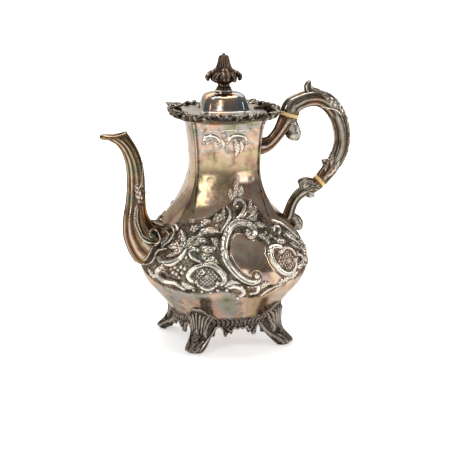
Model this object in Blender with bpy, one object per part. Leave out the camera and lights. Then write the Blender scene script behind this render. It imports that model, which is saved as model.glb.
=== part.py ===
"""A silver teapot in the tall coffee-pot form: pear-shaped panelled body on four cast feet, a hinged
domed lid with a cast finial, a swan-neck spout, and a scroll handle cut by two ivory insulators.

Sizes below are in millimetres and become metres where a mesh is made. +Z is up, +X runs towards the
handle, and z = 0 is the surface that the feet stand on. The body's own axis lies a little towards the
spout, so that the origin is at the middle of the whole pot's footprint.
"""

import math

import bpy
import bmesh
from mathutils import Matrix, Vector

MM = 0.001

BODY_AXIS_X = -4.1
GAP = 0.35
LANDING_GAP = 0.45
SHEET = 0.8
CAST_WALL = 1.3
NECK_TWIST = math.radians(-5.8)
RIM_TWIST = math.radians(2.0)
FOOT_TWIST = math.radians(5.5)

# Body outline, bottom to top: height, mid-panel radius, corner radius, half-angle of a corner's chamfer.
BODY_OUTLINE = (
    (20.0, 30.0, 30.0, 8.0),
    (21.0, 39.0, 39.0, 8.0),
    (25.0, 45.5, 45.5, 8.0),
    (31.0, 51.0, 51.0, 8.0),
    (38.0, 56.5, 56.5, 8.0),
    (45.0, 62.5, 62.5, 8.0),
    (52.0, 68.5, 68.5, 8.0),
    (59.0, 74.5, 74.5, 8.0),
    (66.0, 78.5, 78.5, 8.0),
    (73.0, 80.4, 80.4, 8.0),
    (81.0, 80.6, 80.6, 8.0),
    (89.0, 79.0, 79.2, 8.0),
    (97.0, 76.0, 77.0, 8.0),
    (105.0, 71.4, 73.4, 7.8),
    (112.0, 66.2, 69.8, 7.4),
    (119.0, 60.2, 65.6, 7.0),
    (125.0, 54.6, 61.6, 6.6),
    (131.0, 48.8, 57.2, 6.0),
    (137.0, 43.8, 53.2, 5.2),
    (143.0, 40.0, 50.0, 4.2),
    (149.0, 37.2, 47.4, 3.2),
    (156.0, 34.9, 44.9, 2.4),
    (164.0, 33.5, 42.8, 2.0),
    (173.0, 33.0, 41.9, 2.0),
    (186.0, 33.5, 42.3, 2.0),
    (198.0, 34.6, 43.4, 2.0),
    (209.0, 36.2, 45.0, 2.2),
    (215.0, 37.8, 46.4, 2.6),
    (218.6, 40.0, 48.2, 3.2),
    (221.4, 42.6, 50.6, 3.8),
    (222.7, 44.6, 52.2, 4.2),
    (223.0, 46.0, 53.4, 4.2),
)
LIP_TOP = 224.1
PANEL_STEPS = 4
ROUND_FROM = 0.85
CHAMFER_STEPS = 1

# Lid: height, mid-side radius, corner radius. The brim rests on the body's flared lip.
LID_BRIM_TOP = 225.7
LID_BRIM_MID = 40.0
LID_BRIM_CORNER = 47.2
LID_SHEET = 0.8
LID_OUTLINE = (
    (242.9, 3.0, 3.0),
    (242.9, 8.5, 8.5),
    (242.4, 14.0, 14.6),
    (240.4, 18.6, 20.2),
    (236.4, 21.4, 24.0),
    (231.4, 22.9, 26.2),
    (227.6, 23.8, 27.4),
    (226.2, 25.0, 28.8),
    (LID_BRIM_TOP, 27.4, 31.4),
    (LID_BRIM_TOP, LID_BRIM_MID, LID_BRIM_CORNER),
)
BEZEL_TOP = LID_BRIM_TOP - LID_SHEET - GAP
BEZEL_DEPTH = 10.0
BEZEL_MID = 34.4
BEZEL_CORNER = 41.6

# Cast border around the lip.
RIM_STEPS = 64
RIM_INNER_MID = 46.6
RIM_INNER_CORNER = 54.0
RIM_TIP_RADIUS = 61.5
RIM_MID_RADIUS = 50.6
RIM_LOW = 219.8
RIM_HIGH = 226.4
RIM_TIP_LIFT = 2.6

# Hinge.
HINGE_X = 43.4
HINGE_Z = 228.0
PIN_RADIUS = 0.9
PIN_BORE = 1.02
KNUCKLE_RADIUS = 2.1
HINGE_HALF_LENGTH = 8.0
LID_KNUCKLE_HALF = 2.8
LEAF_THICKNESS = 1.0

# Finial: height, radius, how far its four leaves reach beyond that radius.
STUD_RADIUS = 2.2
STUD_BORE = 2.5
WASHER_LOW = 243.25
WASHER_HIGH = 245.0
WASHER_RADIUS = 8.2
NUT_RADIUS = 5.2
NUT_HIGH = 241.6
NUT_LOW = 238.8
FINIAL_OUTLINE = (
    (236.8, STUD_RADIUS, 0.0),
    (245.35, STUD_RADIUS, 0.0),
    (245.35, 7.0, 0.0),
    (246.8, 6.9, 0.0),
    (249.5, 5.7, 0.4),
    (251.6, 6.0, 1.6),
    (252.6, 8.2, 4.6),
    (254.6, 9.6, 5.6),
    (257.6, 11.2, 4.6),
    (259.8, 11.6, 3.2),
    (262.4, 9.6, 2.4),
    (265.4, 7.0, 1.4),
    (268.6, 5.6, 0.8),
    (272.0, 4.8, 0.6),
    (275.8, 4.3, 0.5),
    (277.3, 3.8, 0.2),
    (277.9, 1.5, 0.0),
    (279.0, 1.6, 0.0),
    (279.7, 1.1, 0.0),
    (280.0, 0.4, 0.0),
)
FINIAL_SIDES = 24

# Spout sections from the body to the mouth: outer edge x and z, inner edge x and z, half-width across.
SPOUT_SECTIONS = (
    (-87.4, 78.6, -71.6, 123.5, 16.4),
    (-94.0, 89.0, -73.4, 125.2, 14.4),
    (-98.8, 102.5, -74.9, 128.0, 12.2),
    (-99.9, 114.0, -76.2, 131.5, 11.0),
    (-98.9, 126.0, -77.2, 137.0, 10.0),
    (-96.8, 137.0, -77.8, 142.8, 9.2),
    (-95.5, 149.0, -78.0, 150.5, 8.6),
    (-95.2, 160.0, -78.2, 160.0, 8.2),
    (-95.4, 170.0, -78.9, 169.0, 7.9),
    (-96.8, 179.0, -80.4, 177.5, 7.6),
    (-99.4, 186.6, -83.0, 185.6, 7.3),
    (-103.4, 193.0, -86.2, 192.8, 7.1),
    (-108.6, 198.2, -89.6, 198.6, 7.0),
    (-113.8, 201.6, -92.8, 203.4, 6.7),
    (-118.7, 205.2, -95.2, 207.4, 6.0),
)
SPOUT_ROOT_INSIDE = (-60.0, 94.0, -58.0, 102.0)
SPOUT_SIDES = 20
SPOUT_HOLE_RADIUS = 8.0
SPOUT_HOLE_AT = (-72.0, 101.0)

# Handle: the two insulators' centres, the way each one faces (towards the grip) and its half-sizes.
UPPER_JOINT = (65.4, 218.2)
UPPER_FACING = math.radians(73.2)
UPPER_HALF = (9.5, 7.6)
LOWER_JOINT = (97.4, 151.2)
LOWER_FACING = math.radians(42.0)
LOWER_HALF = (6.9, 6.4)
INSULATOR_HALF_THICKNESS = 1.9
TENON_LENGTH = 6.0
TENON_INSET = 3.0
HANDLE_PIN_RADIUS = 0.9
HANDLE_PIN_BORE = 1.08
HANDLE_PIN_OFFSET = 5.2

# Grip, from the upper insulator round to the lower one: centre x and z, half-depth, half-width.
GRIP_ROUTE = (
    (68.6, 226.8, 8.8, 7.3),
    (77.0, 231.2, 8.0, 6.9),
    (85.6, 233.6, 7.8, 6.8),
    (94.6, 233.4, 7.8, 6.8),
    (103.0, 229.6, 7.8, 6.8),
    (110.2, 222.6, 7.8, 6.8),
    (115.6, 213.2, 7.8, 6.7),
    (118.8, 202.4, 7.7, 6.7),
    (119.6, 191.2, 7.5, 6.6),
    (117.8, 180.8, 7.3, 6.5),
    (113.6, 171.2, 7.1, 6.4),
    (107.6, 162.6, 7.0, 6.4),
)
GRIP_SIDES = 12
GRIP_WALL = 1.4

# Sockets: routes from the body to the insulators.
UPPER_ROUTE = (
    (42.6, 188.4, 7.8, 6.2),
    (47.0, 192.2, 6.4, 5.7),
    (52.0, 197.2, 6.0, 5.5),
    (56.6, 203.2, 6.4, 5.8),
    (60.8, 209.8, 7.8, 6.6),
)
UPPER_LANDING = (30.0, 182.0)
LOWER_ROUTE = (
    (67.2, 123.4, 5.2, 5.0),
    (70.6, 131.6, 4.9, 4.7),
    (75.8, 138.2, 5.0, 4.8),
    (82.4, 142.4, 5.6, 5.3),
    (89.4, 145.2, 6.3, 6.0),
)
LOWER_LANDING = (63.0, 92.0)
SOCKET_SIDES = 16

# Feet: a quarter of the cast apron each, with the leg in the middle.
FOOT_COUNT = 4
FOOT_HALF_SPAN = math.radians(44.78)
FOOT_COLUMNS = 24
FOOT_ROWS = 8
APRON_TOP = 30.0
APRON_THICKNESS = 2.6
KNEE_TOP = 41.5
LEG_HALF_ANGLE = math.radians(10.5)
LEG_THICKNESS = 6.0
# Leg outline, top to bottom: height, radius of the outer face.
LEG_OUTLINE = ((0.0, 71.0), (3.0, 72.6), (6.0, 70.6), (10.0, 65.6), (15.0, 61.4), (21.0, 59.4),
               (28.0, 59.6), (34.0, 60.6), (38.0, 61.0), (42.0, 62.6))
# Lower edge of the apron: angle from the leg in degrees, height.
APRON_EDGE = ((0.0, 0.0), (6.0, 0.0), (8.5, 4.0), (11.0, 10.0), (14.5, 17.0), (20.0, 21.5), (25.0, 16.5),
              (28.5, 12.5), (32.5, 17.5), (37.0, 20.0), (41.0, 18.0), (45.0, 20.5))


def clear_scene():
    for thing in list(bpy.data.objects):
        bpy.data.objects.remove(thing, do_unlink=True)


def make_material(name, colour, roughness, metallic):
    material = bpy.data.materials.new(name)
    material.use_nodes = True
    shader = material.node_tree.nodes["Principled BSDF"]
    shader.inputs["Base Color"].default_value = (*colour, 1.0)
    shader.inputs["Roughness"].default_value = roughness
    shader.inputs["Metallic"].default_value = metallic
    material.diffuse_color = (*colour, 1.0)
    return material


def smooth_at(stations, where, column):
    """Value of one column of a list of stations, eased between them by a cubic through each point."""
    ordered = stations if stations[0][0] < stations[-1][0] else stations[::-1]
    if where <= ordered[0][0]:
        return ordered[0][column]
    if where >= ordered[-1][0]:
        return ordered[-1][column]
    index = next(i for i in range(len(ordered) - 1) if ordered[i + 1][0] >= where)
    low, high = ordered[index], ordered[index + 1]
    span = high[0] - low[0]
    before = ordered[max(index - 1, 0)]
    after = ordered[min(index + 2, len(ordered) - 1)]
    slope_low = (high[column] - before[column]) / (high[0] - before[0])
    slope_high = (after[column] - low[column]) / (after[0] - low[0])
    t = (where - low[0]) / span
    return ((2 * t**3 - 3 * t**2 + 1) * low[column] + (t**3 - 2 * t**2 + t) * span * slope_low
            + (3 * t**2 - 2 * t**3) * high[column] + (t**3 - t**2) * span * slope_high)


def panel_radius(offset, mid, corner, chamfer):
    """Radius of a four-panelled section at an angle from a panel's middle, up to 45 degrees away.

    A panel is an arc through its middle and its two creases, and a chamfer is a flat between creases.
    Where mid equals corner the section is a circle.
    """
    crease = math.pi / 4 - chamfer
    if abs(offset) > crease:
        flat = corner * math.cos(chamfer) / math.cos(math.pi / 4 - abs(offset))
        roundness = max(0.0, (mid / corner - ROUND_FROM) / (1.0 - ROUND_FROM))
        return flat + (corner - flat) * roundness
    centre = (corner**2 - mid**2) / (2 * (corner * math.cos(crease) - mid))
    return centre * math.cos(offset) + math.sqrt((mid - centre)**2 - (centre * math.sin(offset))**2)


def body_radius(angle, height):
    mid = smooth_at(BODY_OUTLINE, height, 1)
    corner = smooth_at(BODY_OUTLINE, height, 2)
    chamfer = math.radians(smooth_at(BODY_OUTLINE, height, 3))
    turned = angle - NECK_TWIST + math.pi / 4
    offset = turned % (math.pi / 2) - math.pi / 4
    return panel_radius(offset, mid, corner, chamfer)


def panelled_ring(mid, corner, chamfer, height, twist):
    """Points of one four-panelled section, with a point on every crease."""
    crease = math.pi / 4 - chamfer
    offsets = [crease * step / PANEL_STEPS for step in range(-PANEL_STEPS, PANEL_STEPS + 1)]
    offsets += [crease + 2 * chamfer * step / (CHAMFER_STEPS + 1) for step in range(1, CHAMFER_STEPS + 1)]
    ring = []
    for side in range(4):
        for offset in offsets:
            near = offset if offset <= math.pi / 4 else offset - math.pi / 2
            radius = panel_radius(near, mid, corner, chamfer)
            angle = twist + side * math.pi / 2 + offset
            ring.append(Vector((radius * math.cos(angle), radius * math.sin(angle), height)))
    return ring


def make_object(name, mesh_builder, material, parent):
    """A named object whose mesh is filled by mesh_builder(bm) in millimetres."""
    bm = bmesh.new()
    mesh_builder(bm)
    bmesh.ops.scale(bm, vec=(MM, MM, MM), verts=bm.verts)
    bmesh.ops.recalc_face_normals(bm, faces=bm.faces)
    outermost = max(bm.faces, key=lambda face: face.calc_center_median().xy.length)
    if outermost.normal.xy.dot(outermost.calc_center_median().xy) < 0.0:
        bmesh.ops.reverse_faces(bm, faces=bm.faces)
    mesh = bpy.data.meshes.new(name)
    bm.to_mesh(mesh)
    bm.free()
    if material is not None:
        mesh.materials.append(material)
    thing = bpy.data.objects.new(name, mesh)
    bpy.context.scene.collection.objects.link(thing)
    thing.parent = parent
    return thing


def shade_round(thing, sharp_degrees=40.0):
    thing.data.shade_smooth()
    thing.data.set_sharp_from_angle(angle=math.radians(sharp_degrees))


def bridge_rings(bm, rings, joined_ends=False):
    """Faces between neighbouring rings of points. Joined ends make a tube with a wall."""
    loops = [[bm.verts.new(point) for point in ring] for ring in rings]
    pairs = list(zip(loops, loops[1:]))
    if joined_ends:
        pairs.append((loops[-1], loops[0]))
    for lower, upper in pairs:
        count = len(lower)
        for i in range(count):
            bm.faces.new((lower[i], lower[(i + 1) % count], upper[(i + 1) % count], upper[i]))
    return loops


def cap_ends(bm, loops):
    bm.faces.new(loops[0])
    bm.faces.new(loops[-1])


def make_cutter(name, mesh_builder, parent):
    cutter = make_object(name, mesh_builder, None, parent)
    cutter.hide_render = True
    cutter.display_type = "WIRE"
    return cutter


def combine(thing, tool, operation):
    modifier = thing.modifiers.new(operation.lower() + "_" + tool.name, "BOOLEAN")
    modifier.operation = operation
    modifier.solver = "EXACT"
    modifier.object = tool


def solidify(thing, thickness, offset=-1.0):
    modifier = thing.modifiers.new("sheet", "SOLIDIFY")
    modifier.thickness = thickness * MM
    modifier.offset = offset
    modifier.use_even_offset = True


def rod_between(bm, start, end, radius, sides):
    """A capped cylinder between two points."""
    start, end = Vector(start), Vector(end)
    turn = (end - start).to_track_quat("Z", "Y").to_matrix().to_4x4()
    place = Matrix.Translation((start + end) / 2) @ turn
    bmesh.ops.create_cone(bm, cap_ends=True, segments=sides, radius1=radius, radius2=radius,
                          depth=(end - start).length, matrix=place)


def box_between(bm, low, high):
    low, high = Vector(low), Vector(high)
    place = Matrix.Translation((low + high) / 2) @ Matrix.Diagonal((*(high - low), 1.0))
    bmesh.ops.create_cube(bm, size=1.0, matrix=place)


# Sheet body -------------------------------------------------------------------------------------------


def make_body(material, parent):
    def surface(bm):
        rings = [panelled_ring(mid, corner, math.radians(chamfer), height, NECK_TWIST)
                 for height, mid, corner, chamfer in BODY_OUTLINE]
        loops = bridge_rings(bm, rings)
        bm.faces.new(loops[0])

    def hole(bm):
        x, z = SPOUT_HOLE_AT
        along = Vector((-1.0, 0.0, 0.45)).normalized() * 14.0
        centre = Vector((x, 0.0, z))
        rod_between(bm, centre - along, centre + along, SPOUT_HOLE_RADIUS, 20)

    body = make_object("body_shell", surface, material, parent)
    shade_round(body, 30.0)
    solidify(body, SHEET)
    combine(body, make_cutter("spout_hole", hole, parent), "DIFFERENCE")
    return body


# Lid --------------------------------------------------------------------------------------------------


def lid_chamfer(mid, corner):
    """The dome's corners are soft near the top and crisp at the brim."""
    return math.radians(12.0 if corner - mid < 2.0 else 8.0)


def make_lid(material, lid_frame):
    def surface(bm):
        rings = [panelled_ring(mid, corner, lid_chamfer(mid, corner), height, NECK_TWIST)
                 for height, mid, corner in LID_OUTLINE]
        bridge_rings(bm, rings)

    lid = make_object("lid_dome", surface, material, lid_frame)
    shift_mesh(lid)
    shade_round(lid, 35.0)
    solidify(lid, LID_SHEET)
    return lid


def make_bezel(material, lid_frame):
    def wall(bm):
        low = BEZEL_TOP - BEZEL_DEPTH
        rows = ((BEZEL_TOP, 0.0), (low, 0.0), (low, -LID_SHEET), (BEZEL_TOP, -LID_SHEET))
        rings = [panelled_ring(BEZEL_MID + inward, BEZEL_CORNER + inward, math.radians(3.0), height,
                               NECK_TWIST) for height, inward in rows]
        bridge_rings(bm, rings, joined_ends=True)

    bezel = make_object("lid_bezel", wall, material, lid_frame)
    shift_mesh(bezel)
    shade_round(bezel, 30.0)
    return bezel


def shift_mesh(thing):
    """Moves a lid piece's mesh so that the piece's origin lies on the hinge axis."""
    thing.data.transform(Matrix.Translation((-HINGE_X * MM, 0.0, -HINGE_Z * MM)))


def leafy(angle, folds, power):
    """A wave of pointed lobes, 1 at each lobe's tip and 0 between them."""
    return abs(math.cos(angle * folds / 2)) ** power


def make_finial(materials, lid_frame):
    def turned(bm):
        rings = []
        for height, radius, leaf in FINIAL_OUTLINE:
            ring = []
            for step in range(FINIAL_SIDES):
                angle = 2 * math.pi * step / FINIAL_SIDES
                reach = radius + leaf * leafy(angle - NECK_TWIST, FOOT_COUNT, 3)
                ring.append(Vector((reach * math.cos(angle), reach * math.sin(angle), height)))
            rings.append(ring)
        cap_ends(bm, bridge_rings(bm, rings))

    def ring_between(low, high, radius, sides):
        def wall(bm):
            rows = ((low, radius), (high, radius), (high, STUD_BORE), (low, STUD_BORE))
            rings = [[Vector((r * math.cos(2 * math.pi * i / sides), r * math.sin(2 * math.pi * i / sides), z))
                      for i in range(sides)] for z, r in rows]
            bridge_rings(bm, rings, joined_ends=True)
        return wall

    finial = make_object("finial", turned, materials["tarnished"], lid_frame)
    washer = make_object("finial_washer", ring_between(WASHER_LOW, WASHER_HIGH, WASHER_RADIUS, 24),
                         materials["bright"], lid_frame)
    nut = make_object("finial_nut", ring_between(NUT_LOW, NUT_HIGH, NUT_RADIUS, 12),
                      materials["brass"], lid_frame)
    for piece in (finial, washer, nut):
        shift_mesh(piece)
        shade_round(piece, 45.0)


# Hinge ------------------------------------------------------------------------------------------------


def extrude_side_view(bm, outline, low_y, high_y):
    rings = [[Vector((x, y, z)) for x, z in outline] for y in (low_y, high_y)]
    cap_ends(bm, bridge_rings(bm, rings))


def make_hinge(materials, pot, lid_frame):
    body_low = LIP_TOP + GAP
    lid_low = LID_BRIM_TOP + GAP

    def body_leaf(bm):
        eye = [(HINGE_X + KNUCKLE_RADIUS * math.cos(math.radians(a)),
                HINGE_Z + KNUCKLE_RADIUS * math.sin(math.radians(a))) for a in range(0, 181, 18)]
        foot = [(HINGE_X - KNUCKLE_RADIUS, body_low), (HINGE_X + KNUCKLE_RADIUS, body_low)]
        extrude_side_view(bm, eye + foot, -HINGE_HALF_LENGTH, HINGE_HALF_LENGTH)

    def lid_leaf(bm):
        eye = [(HINGE_X + KNUCKLE_RADIUS * math.cos(math.radians(a)),
                HINGE_Z + KNUCKLE_RADIUS * math.sin(math.radians(a))) for a in range(-90, 91, 18)]
        strap = [(HINGE_X - KNUCKLE_RADIUS, lid_low + LEAF_THICKNESS + 1.0),
                 (HINGE_X - 13.0, lid_low + LEAF_THICKNESS), (HINGE_X - 13.0, lid_low),
                 (HINGE_X - KNUCKLE_RADIUS, lid_low)]
        extrude_side_view(bm, eye + strap, -LID_KNUCKLE_HALF, LID_KNUCKLE_HALF)

    def bore(bm):
        rod_between(bm, (HINGE_X, -20.0, HINGE_Z), (HINGE_X, 20.0, HINGE_Z), PIN_BORE, 16)

    def slot(bm):
        half = LID_KNUCKLE_HALF + GAP
        box_between(bm, (HINGE_X - 6.0, -half, body_low + 0.6), (HINGE_X + 6.0, half, HINGE_Z + 6.0))

    def pin(bm):
        half = HINGE_HALF_LENGTH + 0.4
        rod_between(bm, (HINGE_X, -half, HINGE_Z), (HINGE_X, half, HINGE_Z), PIN_RADIUS, 16)

    bore_cutter = make_cutter("hinge_bore", bore, pot)
    leaf = make_object("hinge_body_leaf", body_leaf, materials["cast"], pot)
    combine(leaf, make_cutter("hinge_slot", slot, pot), "DIFFERENCE")
    combine(leaf, bore_cutter, "DIFFERENCE")
    lid_strap = make_object("hinge_lid_leaf", lid_leaf, materials["cast"], lid_frame)
    shift_mesh(lid_strap)
    combine(lid_strap, bore_cutter, "DIFFERENCE")
    make_object("hinge_pin", pin, materials["bright"], pot)


# Cast border around the lip ---------------------------------------------------------------------------


def make_rim(material, parent):
    def border(bm):
        rings = []
        for step in range(RIM_STEPS):
            angle = 2 * math.pi * step / RIM_STEPS
            lip_offset = (angle - NECK_TWIST + math.pi / 4) % (math.pi / 2) - math.pi / 4
            inner = panel_radius(lip_offset, RIM_INNER_MID, RIM_INNER_CORNER, math.radians(4.2))
            tip = leafy(angle - RIM_TWIST + math.pi / 4, FOOT_COUNT, 6)
            wave = 0.8 * math.cos(angle * 20)
            outer = RIM_MID_RADIUS + (RIM_TIP_RADIUS - RIM_MID_RADIUS) * tip + wave
            outer = max(outer, inner + 3.0)
            lift = RIM_TIP_LIFT * tip
            rows = ((inner, RIM_LOW + 1.4), (inner + 0.9, RIM_LOW + 0.2), ((inner + outer) / 2, RIM_LOW),
                    (outer - 0.8, RIM_LOW + 1.6 + lift), (outer, RIM_LOW + 3.4 + lift),
                    (outer - 1.0, RIM_HIGH - 1.0 + lift), ((inner + outer) / 2, RIM_HIGH + 0.6 * lift),
                    (inner + 0.8, RIM_HIGH - 0.4), (inner, RIM_HIGH - 1.6))
            rings.append([Vector((r * math.cos(angle), r * math.sin(angle), z)) for r, z in rows])
        bridge_rings(bm, rings, joined_ends=True)

    rim = make_object("rim_border", border, material, parent)
    shade_round(rim, 60.0)
    return rim


# Feet -------------------------------------------------------------------------------------------------


def foot_edge(offset):
    """Height of the casting's lower edge at an angle from the leg."""
    where = abs(math.degrees(offset))
    for (low_at, low), (high_at, high) in zip(APRON_EDGE, APRON_EDGE[1:]):
        if where <= high_at:
            return low + (high - low) * (where - low_at) / (high_at - low_at)
    return APRON_EDGE[-1][1]


def foot_faces(offset, height):
    """Outer and inner radius of a foot casting at an angle from its leg and a height."""
    leg = math.exp(-((offset / LEG_HALF_ANGLE) ** 4))
    clear = smooth_at(BODY_OUTLINE, max(height, 25.0), 1) + GAP
    apron = clear + APRON_THICKNESS
    outer = apron + (smooth_at(LEG_OUTLINE, height, 1) - apron) * leg
    thickness = APRON_THICKNESS + (LEG_THICKNESS - APRON_THICKNESS) * leg
    inner = max(outer - thickness, clear)
    return max(outer, inner + APRON_THICKNESS * 0.6), inner


def make_feet(material, parent):
    def casting(bm):
        outer_rows, inner_rows = [], []
        for column in range(FOOT_COLUMNS + 1):
            offset = FOOT_HALF_SPAN * (2 * column / FOOT_COLUMNS - 1)
            knee = math.exp(-((offset / math.radians(12.0)) ** 2))
            top = APRON_TOP + (KNEE_TOP - APRON_TOP) * knee + 0.7 * math.cos(offset * 16)
            low = foot_edge(offset)
            outer_rows.append([])
            inner_rows.append([])
            for row in range(FOOT_ROWS + 1):
                height = top + (low - top) * row / FOOT_ROWS
                for rows, radius in zip((outer_rows, inner_rows), foot_faces(offset, height)):
                    point = (radius * math.cos(offset), radius * math.sin(offset), height)
                    rows[-1].append(bm.verts.new(point))
        rings = [outer + inner[::-1] for outer, inner in zip(outer_rows, inner_rows)]
        for left, right in zip(rings, rings[1:]):
            for i in range(len(left)):
                j = (i + 1) % len(left)
                bm.faces.new((left[i], left[j], right[j], right[i]))
        for outer, inner in ((outer_rows[0], inner_rows[0]), (outer_rows[-1], inner_rows[-1])):
            for i in range(FOOT_ROWS):
                bm.faces.new((outer[i], outer[i + 1], inner[i + 1], inner[i]))

    first = make_object("foot_1", casting, material, parent)
    shade_round(first, 50.0)
    for index in range(FOOT_COUNT):
        foot = first
        if index:
            foot = bpy.data.objects.new(f"foot_{index + 1}", first.data)
            bpy.context.scene.collection.objects.link(foot)
            foot.parent = parent
        foot.rotation_euler = (0.0, 0.0, math.pi / 4 + FOOT_TWIST + index * math.pi / 2)


# Swept pieces: spout, grip and sockets ----------------------------------------------------------------


def section_ring(centre, across, half_depth, half_width, sides, flute=0.0):
    """An oval section at a point of the x-z plane. across is the unit direction of its depth."""
    ring = []
    for step in range(sides):
        turn = 2 * math.pi * step / sides
        swell = 1.0 + flute * math.cos(turn * sides / 2)
        depth = half_depth * math.cos(turn) * swell
        width = half_width * math.sin(turn) * swell
        ring.append(Vector((centre[0] + across[0] * depth, width, centre[1] + across[1] * depth)))
    return ring


def land_on_body(ring, inward, gap):
    """Moves each point of a ring along its line towards `inward` until it meets the body's surface."""
    landed = []
    for point, target in zip(ring, inward):
        near, far = 0.0, 1.0
        for _ in range(30):
            middle = (near + far) / 2
            trial = point.lerp(target, middle)
            height_radius = body_radius(math.atan2(trial.y, trial.x), trial.z) + gap
            if math.hypot(trial.x, trial.y) > height_radius:
                near = middle
            else:
                far = middle
        landed.append(point.lerp(target, near))
    return landed


def directions_along(route, first_facing=None, last_facing=None):
    """Unit tangents of a route in the x-z plane, from each point's neighbours."""
    tangents = []
    for index in range(len(route)):
        before = route[max(index - 1, 0)]
        after = route[min(index + 1, len(route) - 1)]
        run = Vector((after[0] - before[0], after[1] - before[1])).normalized()
        tangents.append(run)
    if first_facing is not None:
        tangents[0] = first_facing
    if last_facing is not None:
        tangents[-1] = last_facing
    return tangents


def smooth_route(route, steps):
    """Points of a smooth curve through a route's points, `steps` to each stretch."""
    points = []
    last = len(route) - 1
    for index in range(last):
        a, b = route[max(index - 1, 0)], route[index]
        c, d = route[index + 1], route[min(index + 2, last)]
        for step in range(steps):
            t = step / steps
            points.append(tuple(
                0.5 * (2 * q + (r - p) * t + (2 * p - 5 * q + 4 * r - s) * t**2 + (3 * q - p - 3 * r + s) * t**3)
                for p, q, r, s in zip(a, b, c, d)))
    points.append(tuple(route[-1]))
    return points


def route_rings(route, sides, inset=0.0, flute=0.0, first_facing=None, last_facing=None):
    rings = []
    for station, tangent in zip(route, directions_along(route, first_facing, last_facing)):
        across = Vector((-tangent.y, tangent.x))
        rings.append(section_ring(station[:2], across, station[2] - inset, station[3] - inset, sides, flute))
    return rings


def make_spout(material, parent):
    def sections(inset, flute):
        rings = []
        for outer_x, outer_z, inner_x, inner_z, half_width in SPOUT_SECTIONS:
            centre = ((outer_x + inner_x) / 2, (outer_z + inner_z) / 2)
            across = Vector((outer_x - inner_x, outer_z - inner_z))
            half_depth = across.length / 2
            rings.append(section_ring(centre, across.normalized(), half_depth - inset, half_width - inset,
                                      SPOUT_SIDES, flute))
        low_x, low_z, high_x, high_z = SPOUT_ROOT_INSIDE
        target = section_ring(((low_x + high_x) / 2, (low_z + high_z) / 2), Vector((0.0, -1.0)),
                              17.0 - inset, 12.0 - inset, SPOUT_SIDES)
        return [land_on_body(rings[0], target, LANDING_GAP)] + rings

    def tube(bm):
        outside = sections(0.0, 0.035)
        inside = sections(CAST_WALL, 0.0)
        bridge_rings(bm, outside + inside[::-1], joined_ends=True)

    spout = make_object("spout", tube, material, parent)
    shade_round(spout, 50.0)
    return spout


def facing_vector(angle):
    return Vector((math.cos(angle), math.sin(angle)))


def joint_ring(joint, facing, along, halves, inset, sides):
    """A section at a distance along an insulator's axis from its centre."""
    direction = facing_vector(facing)
    centre = Vector(joint) + direction * along
    across = Vector((-direction.y, direction.x))
    return section_ring(centre, across, halves[0] - inset, halves[1] - inset, sides)


def make_insulator(name, joint, facing, halves, material, parent):
    """An oval ivory disc with a tenon on each face."""
    def disc(bm):
        thick = INSULATOR_HALF_THICKNESS
        reach = thick + TENON_LENGTH
        inset = TENON_INSET + GAP
        rows = ((-reach, inset), (-thick, inset), (-thick, 0.1), (thick, 0.1), (thick, inset), (reach, inset))
        rings = [joint_ring(joint, facing, along, halves, step_in, SOCKET_SIDES) for along, step_in in rows]
        cap_ends(bm, bridge_rings(bm, rings))

    piece = make_object(name, disc, material, parent)
    shade_round(piece, 40.0)
    return piece


def cut_pocket(socket, joint, facing, halves, parent):
    """Cuts the pocket that takes an insulator's tenon into the end of a socket."""
    def plug(bm):
        floor = INSULATOR_HALF_THICKNESS + TENON_LENGTH + 2 * GAP
        rings = [joint_ring(joint, facing, along, halves, TENON_INSET, SOCKET_SIDES) for along in (-floor, 0.0)]
        cap_ends(bm, bridge_rings(bm, rings))

    combine(socket, make_cutter(socket.name + "_pocket", plug, parent), "DIFFERENCE")


def scroll_route(centre, start_angle, turns, start_radius, end_radius, start_size, end_size, steps=16):
    """A spiral in the x-z plane that tightens and tapers, as (x, z, half-depth, half-width)."""
    route = []
    for step in range(steps + 1):
        t = step / steps
        angle = start_angle + turns * 2 * math.pi * t
        radius = start_radius + (end_radius - start_radius) * t
        size = start_size + (end_size - start_size) * t
        route.append((centre[0] + radius * math.cos(angle), centre[1] + radius * math.sin(angle), size, size))
    return route


def add_scroll(thing, name, parent, route, sides=8, width_scale=1.0):
    """Joins a small curled leaf or volute to a casting."""
    def curl(bm):
        wide = [(x, z, depth, width * width_scale) for x, z, depth, width in route]
        cap_ends(bm, bridge_rings(bm, route_rings(wide, sides)))

    combine(thing, make_cutter(name, curl, parent), "UNION")


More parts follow.
